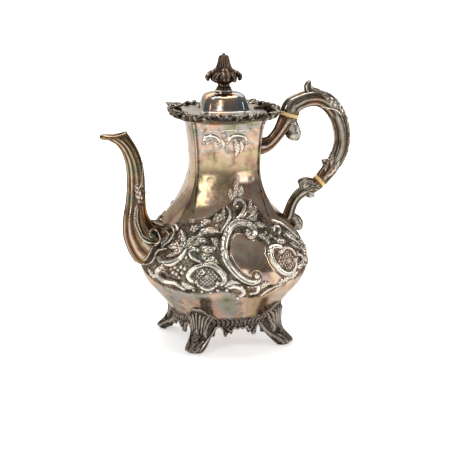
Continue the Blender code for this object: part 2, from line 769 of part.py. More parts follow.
def make_grip(material, parent):
    upper_start = Vector(UPPER_JOINT) + facing_vector(UPPER_FACING) * (INSULATOR_HALF_THICKNESS + GAP)
    lower_end = Vector(LOWER_JOINT) + facing_vector(LOWER_FACING) * (INSULATOR_HALF_THICKNESS + GAP)
    route = ((*upper_start, *UPPER_HALF),) + GRIP_ROUTE + ((*lower_end, *LOWER_HALF),)
    first = facing_vector(UPPER_FACING)
    last = -facing_vector(LOWER_FACING)

    def tube(bm):
        fine = smooth_route(route, 2)
        outside = route_rings(fine, GRIP_SIDES, 0.0, 0.03, first, last)
        inside = route_rings(fine, GRIP_SIDES, GRIP_WALL, 0.0, first, last)
        bridge_rings(bm, outside + inside[::-1], joined_ends=True)

    grip = make_object("handle_grip", tube, material, parent)
    shade_round(grip, 50.0)
    thumb = smooth_route(((95.0, 238.6, 2.6, 4.2), (88.4, 240.6, 3.2, 4.4), (84.6, 244.6, 2.8, 3.6),
                          (84.8, 248.6, 2.0, 2.8), (87.8, 249.6, 1.2, 2.0)), 3)
    add_scroll(grip, "thumb_leaf_tool", parent, thumb)
    inner_leaf = smooth_route(((111.0, 166.6, 2.6, 4.0), (105.0, 170.6, 2.8, 3.8), (100.6, 173.6, 2.2, 3.2),
                               (96.6, 173.4, 1.6, 2.6), (95.0, 170.6, 1.0, 1.8)), 3)
    add_scroll(grip, "inner_leaf_tool", parent, inner_leaf)
    return grip


def make_socket(name, route, landing, joint, facing, halves, material, parent):
    """A solid cast limb that lands on the body and ends flat against an insulator."""
    face = Vector(joint) - facing_vector(facing) * (INSULATOR_HALF_THICKNESS + GAP)
    whole = tuple(route) + ((*face, *halves),)

    def limb(bm):
        rings = route_rings(smooth_route(whole, 2), SOCKET_SIDES, 0.0, 0.03, None, facing_vector(facing))
        shift = Vector((landing[0] - route[0][0], 0.0, landing[1] - route[0][1]))
        middle = sum(rings[0], Vector()) / SOCKET_SIDES
        seat = []
        for share in (0.35, 0.7, 1.0):
            ring = [middle.lerp(point, share) for point in rings[0]]
            seat.append(land_on_body(ring, [point + shift for point in ring], LANDING_GAP))
        cap_ends(bm, bridge_rings(bm, seat + rings))

    socket = make_object(name, limb, material, parent)
    shade_round(socket, 50.0)
    return socket


def make_handle(materials, parent):
    grip = make_grip(materials["handle"], parent)
    upper = make_socket("upper_socket", UPPER_ROUTE, UPPER_LANDING, UPPER_JOINT, UPPER_FACING, UPPER_HALF,
                        materials["cast"], parent)
    volute = scroll_route((66.0, 199.2), math.radians(80.0), -0.8, 7.4, 1.8, 4.2, 2.6)
    add_scroll(upper, "upper_volute_tool", parent, volute)
    lower = make_socket("lower_socket", LOWER_ROUTE, LOWER_LANDING, LOWER_JOINT, LOWER_FACING, LOWER_HALF,
                        materials["cast"], parent)
    top_curl = scroll_route((80.6, 148.6), math.radians(-60.0), 0.7, 4.6, 2.0, 3.2, 2.4)
    add_scroll(lower, "top_curl_tool", parent, top_curl)
    knob = scroll_route((88.6, 137.2), math.radians(60.0), -0.6, 3.4, 1.2, 2.8, 2.2, 10)
    add_scroll(lower, "knob_tool", parent, knob)
    tail = smooth_route(((69.0, 121.0, 3.2, 3.4), (75.6, 117.4, 3.0, 3.2), (78.0, 111.0, 2.4, 2.8),
                         (76.6, 107.6, 1.6, 2.2)), 3)
    add_scroll(lower, "tail_tool", parent, tail)

    joints = (("upper", UPPER_JOINT, UPPER_FACING, UPPER_HALF, upper),
              ("lower", LOWER_JOINT, LOWER_FACING, LOWER_HALF, lower))
    for end, joint, facing, halves, socket in joints:
        cut_pocket(socket, joint, facing, halves, parent)
        disc = make_insulator(end + "_insulator", joint, facing, halves, materials["ivory"], parent)
        for where, side, holder in (("socket", -1.0, socket), ("grip", 1.0, grip)):
            x, z = Vector(joint) + facing_vector(facing) * side * HANDLE_PIN_OFFSET
            head = halves[1] + (0.5 if where == "socket" else 0.2)

            def pin(bm):
                rod_between(bm, (x, -head, z), (x, head, z), HANDLE_PIN_RADIUS, 12)

            def bore(bm):
                rod_between(bm, (x, -20.0, z), (x, 20.0, z), HANDLE_PIN_BORE, 12)

            make_object(f"{end}_{where}_pin", pin, materials["bright"], parent)
            cutter = make_cutter(f"{end}_{where}_bore", bore, parent)
            combine(holder, cutter, "DIFFERENCE")
            combine(disc, cutter, "DIFFERENCE")


def build():
    clear_scene()
    materials = {
        "sheet": make_material("tarnished_silver_sheet", (0.60, 0.47, 0.38), 0.22, 1.0),
        "lid": make_material("tarnished_silver_lid", (0.62, 0.54, 0.46), 0.18, 1.0),
        "cast": make_material("oxidised_silver_casting", (0.36, 0.33, 0.30), 0.38, 1.0),
        "spout": make_material("toned_silver_spout", (0.44, 0.36, 0.25), 0.32, 1.0),
        "handle": make_material("toned_silver_handle", (0.38, 0.29, 0.23), 0.32, 1.0),
        "tarnished": make_material("brown_tarnished_finial", (0.20, 0.13, 0.10), 0.42, 1.0),
        "bright": make_material("bright_silver", (0.75, 0.72, 0.66), 0.22, 1.0),
        "brass": make_material("brass_nut", (0.62, 0.48, 0.24), 0.35, 1.0),
        "ivory": make_material("aged_ivory", (0.72, 0.54, 0.28), 0.35, 0.0),
    }
    pot = bpy.data.objects.new("pot", None)
    bpy.context.scene.collection.objects.link(pot)
    pot.location = (BODY_AXIS_X * MM, 0.0, 0.0)
    lid_frame = bpy.data.objects.new("lid_frame", None)
    bpy.context.scene.collection.objects.link(lid_frame)
    lid_frame.parent = pot
    lid_frame.location = (HINGE_X * MM, 0.0, HINGE_Z * MM)

    make_body(materials["sheet"], pot)
    make_rim(materials["cast"], pot)
    make_feet(materials["cast"], pot)
    make_spout(materials["spout"], pot)
    make_handle(materials, pot)
    make_lid(materials["lid"], lid_frame)
    make_bezel(materials["lid"], lid_frame)
    make_finial(materials, lid_frame)
    make_hinge(materials, pot, lid_frame)


build()
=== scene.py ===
# %% [markdown]
# # A silver teapot in the tall coffee-pot form
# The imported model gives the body, feet, spout, handle, lid and hinge as plain castings and sheet.
# This file dresses them: the chased belly, the cast borders and scrolls, and the tarnished silver.
# Sizes are written in millimetres, as a silversmith would give them, and become metres in one place.

import math

import bpy
import numpy as np
from mathutils import Matrix, Vector
from mathutils.bvhtree import BVHTree


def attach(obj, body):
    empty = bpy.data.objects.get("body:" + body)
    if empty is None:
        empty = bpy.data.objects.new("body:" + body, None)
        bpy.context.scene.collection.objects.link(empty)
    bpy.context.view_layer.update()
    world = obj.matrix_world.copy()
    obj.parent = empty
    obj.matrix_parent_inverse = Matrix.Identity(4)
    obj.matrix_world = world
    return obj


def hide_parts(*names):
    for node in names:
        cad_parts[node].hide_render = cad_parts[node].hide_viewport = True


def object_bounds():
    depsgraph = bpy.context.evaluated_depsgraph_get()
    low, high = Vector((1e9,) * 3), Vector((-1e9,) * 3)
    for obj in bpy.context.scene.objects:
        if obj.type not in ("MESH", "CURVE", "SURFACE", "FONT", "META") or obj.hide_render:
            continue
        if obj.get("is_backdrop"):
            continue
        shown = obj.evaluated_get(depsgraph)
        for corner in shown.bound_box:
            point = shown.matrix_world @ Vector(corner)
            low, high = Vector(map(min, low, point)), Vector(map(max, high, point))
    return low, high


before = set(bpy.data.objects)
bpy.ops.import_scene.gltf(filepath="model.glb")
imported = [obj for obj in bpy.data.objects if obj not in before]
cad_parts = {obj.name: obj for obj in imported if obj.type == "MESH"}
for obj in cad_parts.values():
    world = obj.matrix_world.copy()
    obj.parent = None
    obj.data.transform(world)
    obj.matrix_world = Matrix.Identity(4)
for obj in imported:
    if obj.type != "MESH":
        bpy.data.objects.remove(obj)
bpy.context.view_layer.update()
MM = 0.001
AXIS = -4.1  # x of the pot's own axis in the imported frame, in millimetres
HALF_TURN = math.pi
FULL_TURN = 2.0 * math.pi

# %% [markdown]
# The camera stands a little to the spout side and a little above the lid, with a long lens, as for a
# catalogue picture. It is placed from the pot's own axis, its distance and two angles.

# %% Camera
CAMERA_TURN = math.radians(14.0)
CAMERA_RISE = math.radians(12.65)
CAMERA_DISTANCE = 1.5
CAMERA_AIM = Vector((AXIS * MM, 0.0, 0.1118))

bpy.ops.object.select_all(action="DESELECT")
level = Vector((math.sin(CAMERA_TURN), math.cos(CAMERA_TURN), 0.0))
right = Vector((math.cos(CAMERA_TURN), -math.sin(CAMERA_TURN), 0.0))
look = level * math.cos(CAMERA_RISE) - Vector((0.0, 0.0, math.sin(CAMERA_RISE)))
above = right.cross(look)
bpy.ops.object.camera_add(location=CAMERA_AIM - look * CAMERA_DISTANCE)
camera = bpy.context.object
turn = Matrix((right, above, -look)).transposed()
camera.rotation_euler = turn.to_euler()
camera.data.sensor_width = 36.0
camera.data.lens = 122.8
camera.data.shift_x = 0.0028
camera.data.clip_end = 50.0
bpy.context.scene.camera = camera
print("camera", [round(v, 3) for v in camera.location])

# %% [markdown]
# Every finish is a small network of nodes. These helpers each add one kind of node and link it, so that
# a finish can be read as a sentence further down. Noise always reads Object coordinates.

# %% Node helpers
def add_node(tree, kind, **settings):
    node = tree.nodes.new("ShaderNode" + kind)
    for key, value in settings.items():
        setattr(node, key, value)
    return node


def noise(tree, coords, scale, detail, distortion=0.0):
    node = add_node(tree, "TexNoise")
    node.inputs["Scale"].default_value = scale
    node.inputs["Detail"].default_value = detail
    node.inputs["Distortion"].default_value = distortion
    tree.links.new(coords, node.inputs["Vector"])
    return node.outputs["Fac"]


def ramp(tree, factor, stops):
    node = add_node(tree, "ValToRGB")
    while len(node.color_ramp.elements) < len(stops):
        node.color_ramp.elements.new(0.5)
    for element, (place, colour) in zip(node.color_ramp.elements, stops):
        element.position = place
        element.color = (*colour, 1.0)
    tree.links.new(factor, node.inputs["Fac"])
    return node.outputs["Color"]


def blend_colour(tree, factor, first, second):
    node = add_node(tree, "Mix", data_type="RGBA")
    tree.links.new(factor, node.inputs["Factor"])
    for value, socket in ((first, node.inputs[6]), (second, node.inputs[7])):
        if isinstance(value, tuple):
            socket.default_value = (*value, 1.0)
        else:
            tree.links.new(value, socket)
    return node.outputs[2]


def sum_up(tree, operation, *values):
    """One step of sums on values or sockets; sums and differences are held between 0 and 1."""
    node = add_node(tree, "Math", operation=operation)
    node.use_clamp = operation in ("ADD", "SUBTRACT")
    for value, socket in zip(values, node.inputs):
        if isinstance(value, (int, float)):
            socket.default_value = value
        else:
            tree.links.new(value, socket)
    return node.outputs["Value"]


def spread(tree, value, low, high, to_low, to_high, course="LINEAR"):
    """Carries a value from one range to another, in a straight or an eased course."""
    node = add_node(tree, "MapRange", interpolation_type=course)
    for socket, number in zip(list(node.inputs)[1:5], (low, high, to_low, to_high)):
        socket.default_value = number
    tree.links.new(value, node.inputs["Value"])
    return node.outputs["Result"]


print("node helpers ready")

# %% [markdown]
# Polished silver shows the room more than itself. The room here is a pale floor that glows by painted light
# and whose colour darkens towards the front as painted shade, a dim sky that is darkest near the horizon
# and brighter behind the pot, and soft lamps at the sides, in front and overhead. The dim parts are what
# give tarnished silver its dark bands.

# %% Floor
VIEW = bpy.context.scene.view_settings
VIEW.view_transform = "Standard"
VIEW.look = "None"
VIEW.exposure = 0.0
# The floor's glow is painted light, and its fall to dark towards the front is painted shade.
FLOOR_PAINTED_SHADE, FLOOR_PALE, FLOOR_PAINTED_GLOW = 0.24, 0.9, 0.55

bpy.ops.mesh.primitive_grid_add(x_subdivisions=8, y_subdivisions=8, size=60.0, location=(0.0, 0.0, -0.0004))
floor = bpy.context.object
floor.name = "floor"
paper = bpy.data.materials.new("paper_painted_light")
paper.use_nodes = True
paper_tree = paper.node_tree
paper_shader = paper_tree.nodes["Principled BSDF"]
paper_shader.inputs["Roughness"].default_value = 0.95
paper_shader.inputs["Specular IOR Level"].default_value = 0.1
paper_shader.inputs["Emission Strength"].default_value = FLOOR_PAINTED_GLOW
paper_split = add_node(paper_tree, "SeparateXYZ")
paper_tree.links.new(add_node(paper_tree, "TexCoord").outputs["Object"], paper_split.inputs["Vector"])
# painted light and shade: the floor's colour and glow fall from pale to dark towards the front
floor_painted_falloff = spread(paper_tree, paper_split.outputs["Y"], -1.4, -0.5, FLOOR_PAINTED_SHADE, FLOOR_PALE, "SMOOTHSTEP")
for socket in ("Base Color", "Emission Color"):
    paper_tree.links.new(floor_painted_falloff, paper_shader.inputs[socket])
floor.data.materials.append(paper)
floor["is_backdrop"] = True
print("floor", list(floor.dimensions)[:2])

# %% [markdown]
# The world is one grey that brightens with height and towards the back, by its own direction. The
# lamps are areas, as wide as windows, because a sharp lamp would show in silver as a hard dot.

# %% Sky and lamps
sky = bpy.data.worlds.new("studio")
bpy.context.scene.world = sky
sky.use_nodes = True
sky_tree = sky.node_tree
sky_split = add_node(sky_tree, "SeparateXYZ")
sky_tree.links.new(add_node(sky_tree, "TexCoord").outputs["Generated"], sky_split.inputs["Vector"])
rise = spread(sky_tree, sky_split.outputs["Z"], -0.1, 0.9, 0.11, 0.34)
behind = spread(sky_tree, sky_split.outputs["Y"], 0.5, 0.95, 0.0, 0.6, "SMOOTHSTEP")
background = sky_tree.nodes["Background"]
background.inputs["Color"].default_value = (1.0, 0.99, 0.97, 1.0)
sky_tree.links.new(sum_up(sky_tree, "ADD", rise, behind), background.inputs["Strength"])


def soft_lamp(name, place, aim, wide, high, watts):
    """A softbox: an area lamp of a given size that faces a point."""
    bpy.ops.object.light_add(type="AREA", location=place)
    lamp = bpy.context.object
    lamp.name = name
    lamp.data.shape = "RECTANGLE"
    lamp.data.size = wide
    lamp.data.size_y = high
    lamp.data.energy = watts
    lamp.rotation_euler = (Vector(aim) - Vector(place)).to_track_quat("-Z", "Y").to_euler()


MIDDLE = (0.0, 0.0, 0.13)
soft_lamp("overhead", (0.0, 0.2, 1.6), MIDDLE, 1.1, 1.1, 16.0)
soft_lamp("left_window", (-1.4, -0.7, 0.6), MIDDLE, 0.35, 0.8, 6.0)
soft_lamp("right_window", (1.45, -0.5, 0.6), MIDDLE, 0.35, 0.8, 6.0)
soft_lamp("front_window", (-0.35, -1.8, 0.95), (0.0, 0.0, 0.4), 0.2, 1.8, 4.2)
soft_lamp("low_window", (0.35, -1.6, 0.2), MIDDLE, 0.22, 0.4, 0.7)
soft_lamp("back_wash", (0.0, 3.0, 2.0), (0.0, 3.0, 0.0), 4.0, 3.0, 60.0)

# %% [markdown]
# Most of the pot is skin wrapped on a form: a flat grid of small squares is bent round the body, a
# spout or a leaf. A grid is the primitive, and a placing function says where each of its points goes.
# Points that meet, at a seam or a pole, are merged, and the piece is turned so that it faces outwards.

# %% Wrapped grids
def ride_pot(piece, body):
    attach(piece, body)
    return piece


def volume_of(mesh):
    corners = np.zeros(len(mesh.vertices) * 3)
    mesh.vertices.foreach_get("co", corners)
    corners = corners.reshape(-1, 3)
    mesh.calc_loop_triangles()
    triangles = np.zeros(len(mesh.loop_triangles) * 3, int)
    mesh.loop_triangles.foreach_get("vertices", triangles)
    a, b, c = (corners[triangles.reshape(-1, 3)[:, i]] for i in range(3))
    return float((a * np.cross(b, c)).sum() / 6.0)


def wrap_grid(name, columns, rows, place, material, closed=True, fields=None):
    """A grid bent to a form. place(u, v) gives x, y, z arrays in millimetres from the pot's axis."""
    bpy.ops.object.select_all(action="DESELECT")
    bpy.ops.mesh.primitive_grid_add(x_subdivisions=columns, y_subdivisions=rows, size=1.0)
    piece = bpy.context.object
    piece.name = name
    flat = np.zeros(len(piece.data.vertices) * 3)
    piece.data.vertices.foreach_get("co", flat)
    flat = flat.reshape(-1, 3) + 0.5
    x, y, z = place(flat[:, 0], flat[:, 1])
    placed = np.stack([(x + AXIS) * MM, y * MM, z * MM], axis=1)
    piece.data.vertices.foreach_set("co", placed.ravel())
    for field, values in (fields or {}).items():
        layer = piece.data.attributes.new(field, "FLOAT", "POINT")
        layer.data.foreach_set("value", values(flat[:, 0], flat[:, 1]).astype(np.float32))
    if closed:
        bpy.ops.object.mode_set(mode="EDIT")
        bpy.ops.mesh.select_all(action="SELECT")
        bpy.ops.mesh.remove_doubles(threshold=0.000002)
        bpy.ops.object.mode_set(mode="OBJECT")
        if volume_of(piece.data) < 0.0:
            piece.data.flip_normals()
    bpy.ops.object.shade_smooth()
    piece.data.materials.append(material)
    piece.data.update()
    return piece


def smooth_line(points, steps=6):
    """A curve through points, as an array, `steps` to each stretch."""
    points = np.array(points, float)
    padded = np.vstack([points[:1], points, points[-1:]])
    shares = np.linspace(0.0, 1.0, steps, endpoint=False)[:, None]
    stretches = []
    for a, b, c, d in zip(padded, padded[1:], padded[2:], padded[3:]):
        stretches.append(0.5 * (2 * b + (c - a) * shares + (2 * a - 5 * b + 4 * c - d) * shares**2
                                + (3 * b - a - 3 * c + d) * shares**3))
    return np.vstack(stretches + [points[-1:]])


def walk(points):
    """Distance walked along a line of points, from 0 at its start."""
    return np.concatenate([[0.0], np.cumsum(np.linalg.norm(np.diff(points, axis=0), axis=1))])


def along_outline(outline, share):
    """Each column of a turned outline, at a share of the walk along its first two columns."""
    profile = smooth_line(outline, 6)
    walked = walk(profile[:, :2])
    return (np.interp(share * walked[-1], walked, column) for column in profile.T)


def ease(value, low, high):
    """0 below low, 1 above high, and a smooth rise between."""
    share = np.clip((value - low) / (high - low), 0.0, 1.0)
    return share * share * (3.0 - 2.0 * share)


def hills(x, y, z, size, seed):
    """Soft bumps from a few crossed waves, about -1 to 1, for worn and hand-raised surfaces."""
    dice = np.random.default_rng(seed)
    total = np.zeros_like(np.asarray(x, float))
    for _ in range(7):
        way = dice.normal(size=3)
        way *= FULL_TURN / (size * np.linalg.norm(way)) * dice.uniform(0.7, 1.5)
        total += np.sin(x * way[0] + y * way[1] + z * way[2] + dice.uniform(0.0, 6.3))
    return total / 3.5


print("helpers ready")

# %% [markdown]
# The body is a pear with four panels: round at the bowl, squarer up the neck, where each corner is a
# narrow strip between two creases. The outline gives the radius at the middle of a panel and at a
# crease for each height, and the skin follows both.

# %% The body's form
NECK_TWIST = math.radians(-5.8)
BODY_OUTLINE = np.array((
    (20.0, 30.0, 30.0, 8.0), (21.0, 39.0, 39.0, 8.0), (25.0, 45.5, 45.5, 8.0), (31.0, 51.0, 51.0, 8.0),
    (38.0, 56.5, 56.5, 8.0), (45.0, 62.5, 62.5, 8.0), (52.0, 68.5, 68.5, 8.0), (59.0, 74.5, 74.5, 8.0),
    (66.0, 78.5, 78.5, 8.0), (73.0, 80.4, 80.4, 8.0), (81.0, 80.6, 80.6, 8.0), (89.0, 79.0, 79.2, 8.0),
    (97.0, 76.0, 77.0, 8.0), (105.0, 71.4, 73.4, 7.8), (112.0, 66.2, 69.8, 7.4), (119.0, 60.2, 65.6, 7.0),
    (125.0, 54.6, 61.6, 6.6), (131.0, 48.8, 57.2, 6.0), (137.0, 43.8, 53.2, 5.2), (143.0, 40.0, 50.0, 4.2),
    (149.0, 37.2, 47.4, 3.2), (156.0, 34.9, 44.9, 2.4), (164.0, 33.5, 42.8, 2.0), (173.0, 33.0, 41.9, 2.0),
    (186.0, 33.5, 42.3, 2.0), (198.0, 34.6, 43.4, 2.0), (209.0, 36.2, 45.0, 2.2), (215.0, 37.8, 46.4, 2.6),
    (218.6, 40.0, 48.2, 3.2), (221.4, 42.6, 50.6, 3.8), (222.7, 44.6, 52.2, 4.2), (223.0, 46.0, 53.4, 4.2)))
ROUND_FROM = 0.85
SKIN = 0.35


def outline_at(stations, height, column):
    """One column of an outline at any height, eased between the stations through each of them."""
    heights, values = stations[:, 0], stations[:, column]
    slopes = np.gradient(values, heights)
    slopes[1:-1] = (values[2:] - values[:-2]) / (heights[2:] - heights[:-2])
    height = np.clip(height, heights[0], heights[-1])
    index = np.clip(np.searchsorted(heights, height) - 1, 0, len(heights) - 2)
    span = heights[index + 1] - heights[index]
    t = (height - heights[index]) / span
    return ((2 * t**3 - 3 * t**2 + 1) * values[index] + (t**3 - 2 * t**2 + t) * span * slopes[index]
            + (3 * t**2 - 2 * t**3) * values[index + 1] + (t**3 - t**2) * span * slopes[index + 1])


def panel_radius(offset, mid, corner, chamfer):
    """Radius of a four-panelled section at an angle from a panel's middle."""
    crease = HALF_TURN / 4 - chamfer
    flat = corner * np.cos(chamfer) / np.cos(HALF_TURN / 4 - np.abs(offset))
    roundness = np.clip((mid / corner - ROUND_FROM) / (1.0 - ROUND_FROM), 0.0, 1.0)
    strip = flat + (corner - flat) * roundness
    centre = (corner**2 - mid**2) / (2 * (corner * np.cos(crease) - mid))
    inside = np.maximum((mid - centre)**2 - (centre * np.sin(offset))**2, 0.0)
    panel = centre * np.cos(offset) + np.sqrt(inside)
    return np.where(np.abs(offset) > crease, strip, panel)


def panel_offset(angle):
    return (angle - NECK_TWIST + HALF_TURN / 4) % (HALF_TURN / 2) - HALF_TURN / 4


def body_radius(angle, height):
    mid = outline_at(BODY_OUTLINE, height, 1)
    corner = outline_at(BODY_OUTLINE, height, 2)
    chamfer = np.radians(outline_at(BODY_OUTLINE, height, 3))
    return panel_radius(panel_offset(angle), mid, corner, chamfer)


def body_point(angle, height, proud):
    """A point on the body, raised by `proud` along the surface's own normal."""
    radius = body_radius(angle, height)
    step_up, step_round = 0.5, 0.004
    slope = (body_radius(angle, height + step_up) - body_radius(angle, height - step_up)) / (2 * step_up)
    swing = (body_radius(angle + step_round, height) - body_radius(angle - step_round, height))
    swing = swing / (2 * step_round) / radius
    length = np.sqrt(1.0 + slope**2 + swing**2)
    out, side, up = proud / length, -swing * proud / length, -slope * proud / length
    reach = radius + out
    x = reach * np.cos(angle) - side * np.sin(angle)
    y = reach * np.sin(angle) + side * np.cos(angle)
    return x, y, height + up


print("widest panel", round(float(outline_at(BODY_OUTLINE, np.array([77.0]), 1)[0]), 2), "mm")

# %% [markdown]
# Old silver is not one colour. Where air and polish have met unevenly it carries straw, peach, violet
# and blue-grey films over a bright metal; hollows keep a brown-black oxide and crests are rubbed
# bright. Each finish here mixes its film colours by two sizes of soft noise on Object coordinates.
# Two fields painted on the mesh steer it: `recess`, deep in the chasing, and `crest`, rubbed edges, which on
# the lid's brim and the feet's top edge carries painted light.

# %% Finishes
SCRATCH_SCALE, DENT_SCALE, FLECK_SCALE = 900.0, 70.0, 420.0


def old_silver(name, films, film_size, oxide, bright, rough, rough_oxide, grime=0.35, dents=0.06,
               edge=0.3):
    """A tarnished metal. films are (place, colour) stops; oxide fills hollows; bright is rubbed metal
    and painted light.

    grime is how much stain lies over the films and dents how far the surface waves. edge is how bright
    the metal stays at a glancing look: dull castings lose most of it.
    """
    material = bpy.data.materials.new(name)
    material.use_nodes = True
    tree = material.node_tree
    shader = tree.nodes["Principled BSDF"]
    shader.inputs["Metallic"].default_value = 1.0
    shader.inputs["Specular Tint"].default_value = (edge, edge * 0.93, edge * 0.86, 1.0)
    coords = add_node(tree, "TexCoord").outputs["Object"]
    cloud = noise(tree, coords, film_size, 1.5, 0.3)
    drift = noise(tree, coords, film_size * 3.1, 3.0, 0.4)
    film = ramp(tree, spread(tree, sum_up(tree, "ADD", sum_up(tree, "MULTIPLY", cloud, 0.68),
                                          sum_up(tree, "MULTIPLY", drift, 0.32)), 0.34, 0.66, 0.0, 1.0), films)
    recess = add_node(tree, "Attribute", attribute_name="recess").outputs["Fac"]
    crest = add_node(tree, "Attribute", attribute_name="crest").outputs["Fac"]
    fleck = noise(tree, coords, FLECK_SCALE, 5.0)
    stain = spread(tree, noise(tree, coords, film_size * 9.0, 5.0, 0.4), 0.5, 0.72, 0.0, grime)
    dirt = sum_up(tree, "ADD", sum_up(tree, "MULTIPLY", recess, spread(tree, fleck, 0.3, 0.62, 0.72, 1.0)),
                  stain)
    # crest mixes in bright metal: rubbed wear, and painted light on the lid's brim and the feet's top edge
    rubbed = blend_colour(tree, crest, film, bright)
    colour = blend_colour(tree, dirt, rubbed, oxide)
    tree.links.new(colour, shader.inputs["Base Color"])
    haze = spread(tree, drift, 0.3, 0.7, rough * 0.75, rough * 1.35)
    roughness = sum_up(tree, "ADD", haze, sum_up(tree, "MULTIPLY", dirt, rough_oxide - rough))
    tree.links.new(roughness, shader.inputs["Roughness"])
    scratches = noise(tree, coords, SCRATCH_SCALE, 6.0)
    waves = noise(tree, coords, DENT_SCALE, 2.0)
    fine = add_node(tree, "Bump")
    fine.inputs["Strength"].default_value = 0.05
    fine.inputs["Distance"].default_value = 0.0004
    tree.links.new(scratches, fine.inputs["Height"])
    wide = add_node(tree, "Bump")
    wide.inputs["Strength"].default_value = dents
    wide.inputs["Distance"].default_value = 0.004
    tree.links.new(waves, wide.inputs["Height"])
    tree.links.new(fine.outputs["Normal"], wide.inputs["Normal"])
    tree.links.new(wide.outputs["Normal"], shader.inputs["Normal"])
    return material


print("old_silver is ready")

# %% [markdown]
# Colours are named for what the films look like. Sheet parts are pale and many-coloured, because they
# were polished often; castings are darker, and feet, finial and the hollow parts darkest of all.

# %% The pot's finishes
PEACH, COPPER, STRAW = (0.56, 0.36, 0.25), (0.48, 0.30, 0.19), (0.52, 0.42, 0.24)
GREY, BLUE, VIOLET = (0.37, 0.345, 0.32), (0.20, 0.28, 0.32), (0.30, 0.20, 0.19)
OLIVE, PALE = (0.30, 0.28, 0.15), (0.58, 0.49, 0.40)
DARK_GREY, DARK_STRAW, DARK_BROWN = (0.155, 0.135, 0.12), (0.17, 0.125, 0.08), (0.09, 0.058, 0.042)
OXIDE, BRIGHT = (0.050, 0.038, 0.028), (0.82, 0.76, 0.66)

SPOUT_TEAL, SPOUT_GOLD, SPOUT_RUST = (0.09, 0.16, 0.18), (0.27, 0.16, 0.055), (0.17, 0.075, 0.04)
SPOUT_OLIVE, SPOUT_STRAW = (0.12, 0.11, 0.055), (0.24, 0.15, 0.055)
sheet_silver = old_silver(
    "sheet_silver", ((0.05, BLUE), (0.17, OLIVE), (0.3, GREY), (0.42, PEACH), (0.52, PALE), (0.62, PEACH),
                     (0.74, STRAW), (0.84, COPPER), (0.95, VIOLET)),
                     13.0, OXIDE, BRIGHT, 0.13, 0.5, 0.55, edge=0.6)
lid_silver = old_silver(
    "lid_silver", ((0.05, PEACH), (0.3, PALE), (0.44, GREY), (0.54, BLUE), (0.64, GREY), (0.78, PEACH),
                   (0.95, STRAW)), 24.0, OXIDE, BRIGHT, 0.12, 0.5, edge=0.9)
cast_silver = old_silver(
    "cast_silver", ((0.05, DARK_BROWN), (0.3, DARK_GREY), (0.5, DARK_STRAW), (0.72, DARK_GREY),
                    (0.92, DARK_BROWN)), 26.0, OXIDE, BRIGHT, 0.27, 0.55, 0.5, 0.12)
spout_silver = old_silver(
    "spout_silver", ((0.05, SPOUT_TEAL), (0.22, SPOUT_OLIVE), (0.4, SPOUT_GOLD), (0.54, SPOUT_RUST),
                     (0.68, SPOUT_STRAW), (0.82, (0.14, 0.13, 0.06)), (0.95, (0.10, 0.17, 0.19))),
    17.0, OXIDE, BRIGHT, 0.2, 0.5)
handle_silver = old_silver(
    "handle_silver", ((0.05, DARK_BROWN), (0.25, (0.22, 0.105, 0.055)), (0.42, (0.125, 0.09, 0.055)),
                      (0.6, (0.21, 0.175, 0.14)), (0.75, (0.14, 0.12, 0.06)), (0.92, DARK_BROWN)),
    20.0, OXIDE, BRIGHT, 0.2, 0.5, 0.4)
brown_silver = old_silver(
    "brown_silver", ((0.1, (0.075, 0.045, 0.03)), (0.45, (0.13, 0.08, 0.055)), (0.8, (0.20, 0.14, 0.10))),
    45.0, (0.03, 0.02, 0.015), (0.55, 0.45, 0.37), 0.28, 0.5)
foot_silver = old_silver(
    "foot_silver", ((0.1, (0.10, 0.07, 0.052)), (0.4, (0.15, 0.115, 0.09)), (0.65, (0.20, 0.165, 0.135)),
                    (0.9, (0.12, 0.085, 0.065))),
    40.0, (0.035, 0.025, 0.02), (0.50, 0.44, 0.38), 0.3, 0.55, 0.4, 0.12)
aged_brass = old_silver(
    "aged_brass", ((0.2, (0.34, 0.21, 0.07)), (0.6, (0.55, 0.38, 0.14)), (0.9, (0.40, 0.27, 0.10))),
    60.0, (0.07, 0.045, 0.02), (0.80, 0.62, 0.30), 0.25, 0.5, edge=0.7)
bright_silver = old_silver("bright_silver", ((0.2, PALE), (0.5, GREY), (0.8, PALE)), 30.0, OXIDE, BRIGHT,
                           0.16, 0.4, 0.2)
print("finishes", len(bpy.data.materials))

# %% [markdown]
# Chasing raises soft scrolls, leaves and flowers from the sheet with hammer and punches. A chased
# sheet is kept as a raster of angles and heights on the body. Every tool below pushes the raster up
# or down; lines are drawn on an isothermal map of the body, so that shapes keep their proportions
# wherever they land. The raster then lifts the points of a dense grid, so the relief is real form.

# %% Chasing tools
def map_up_the_body():
    heights = np.linspace(20.5, 222.8, 1600)
    radii = 0.5 * (outline_at(BODY_OUTLINE, heights, 1) + outline_at(BODY_OUTLINE, heights, 2))
    rise_mm = np.sqrt(np.diff(heights)**2 + np.diff(radii)**2)
    mapped = np.concatenate([[0.0], np.cumsum(rise_mm / (0.5 * (radii[1:] + radii[:-1])))])
    walked = np.concatenate([[0.0], np.cumsum(rise_mm)])
    return heights, radii, mapped, walked


BODY_FORM = map_up_the_body()


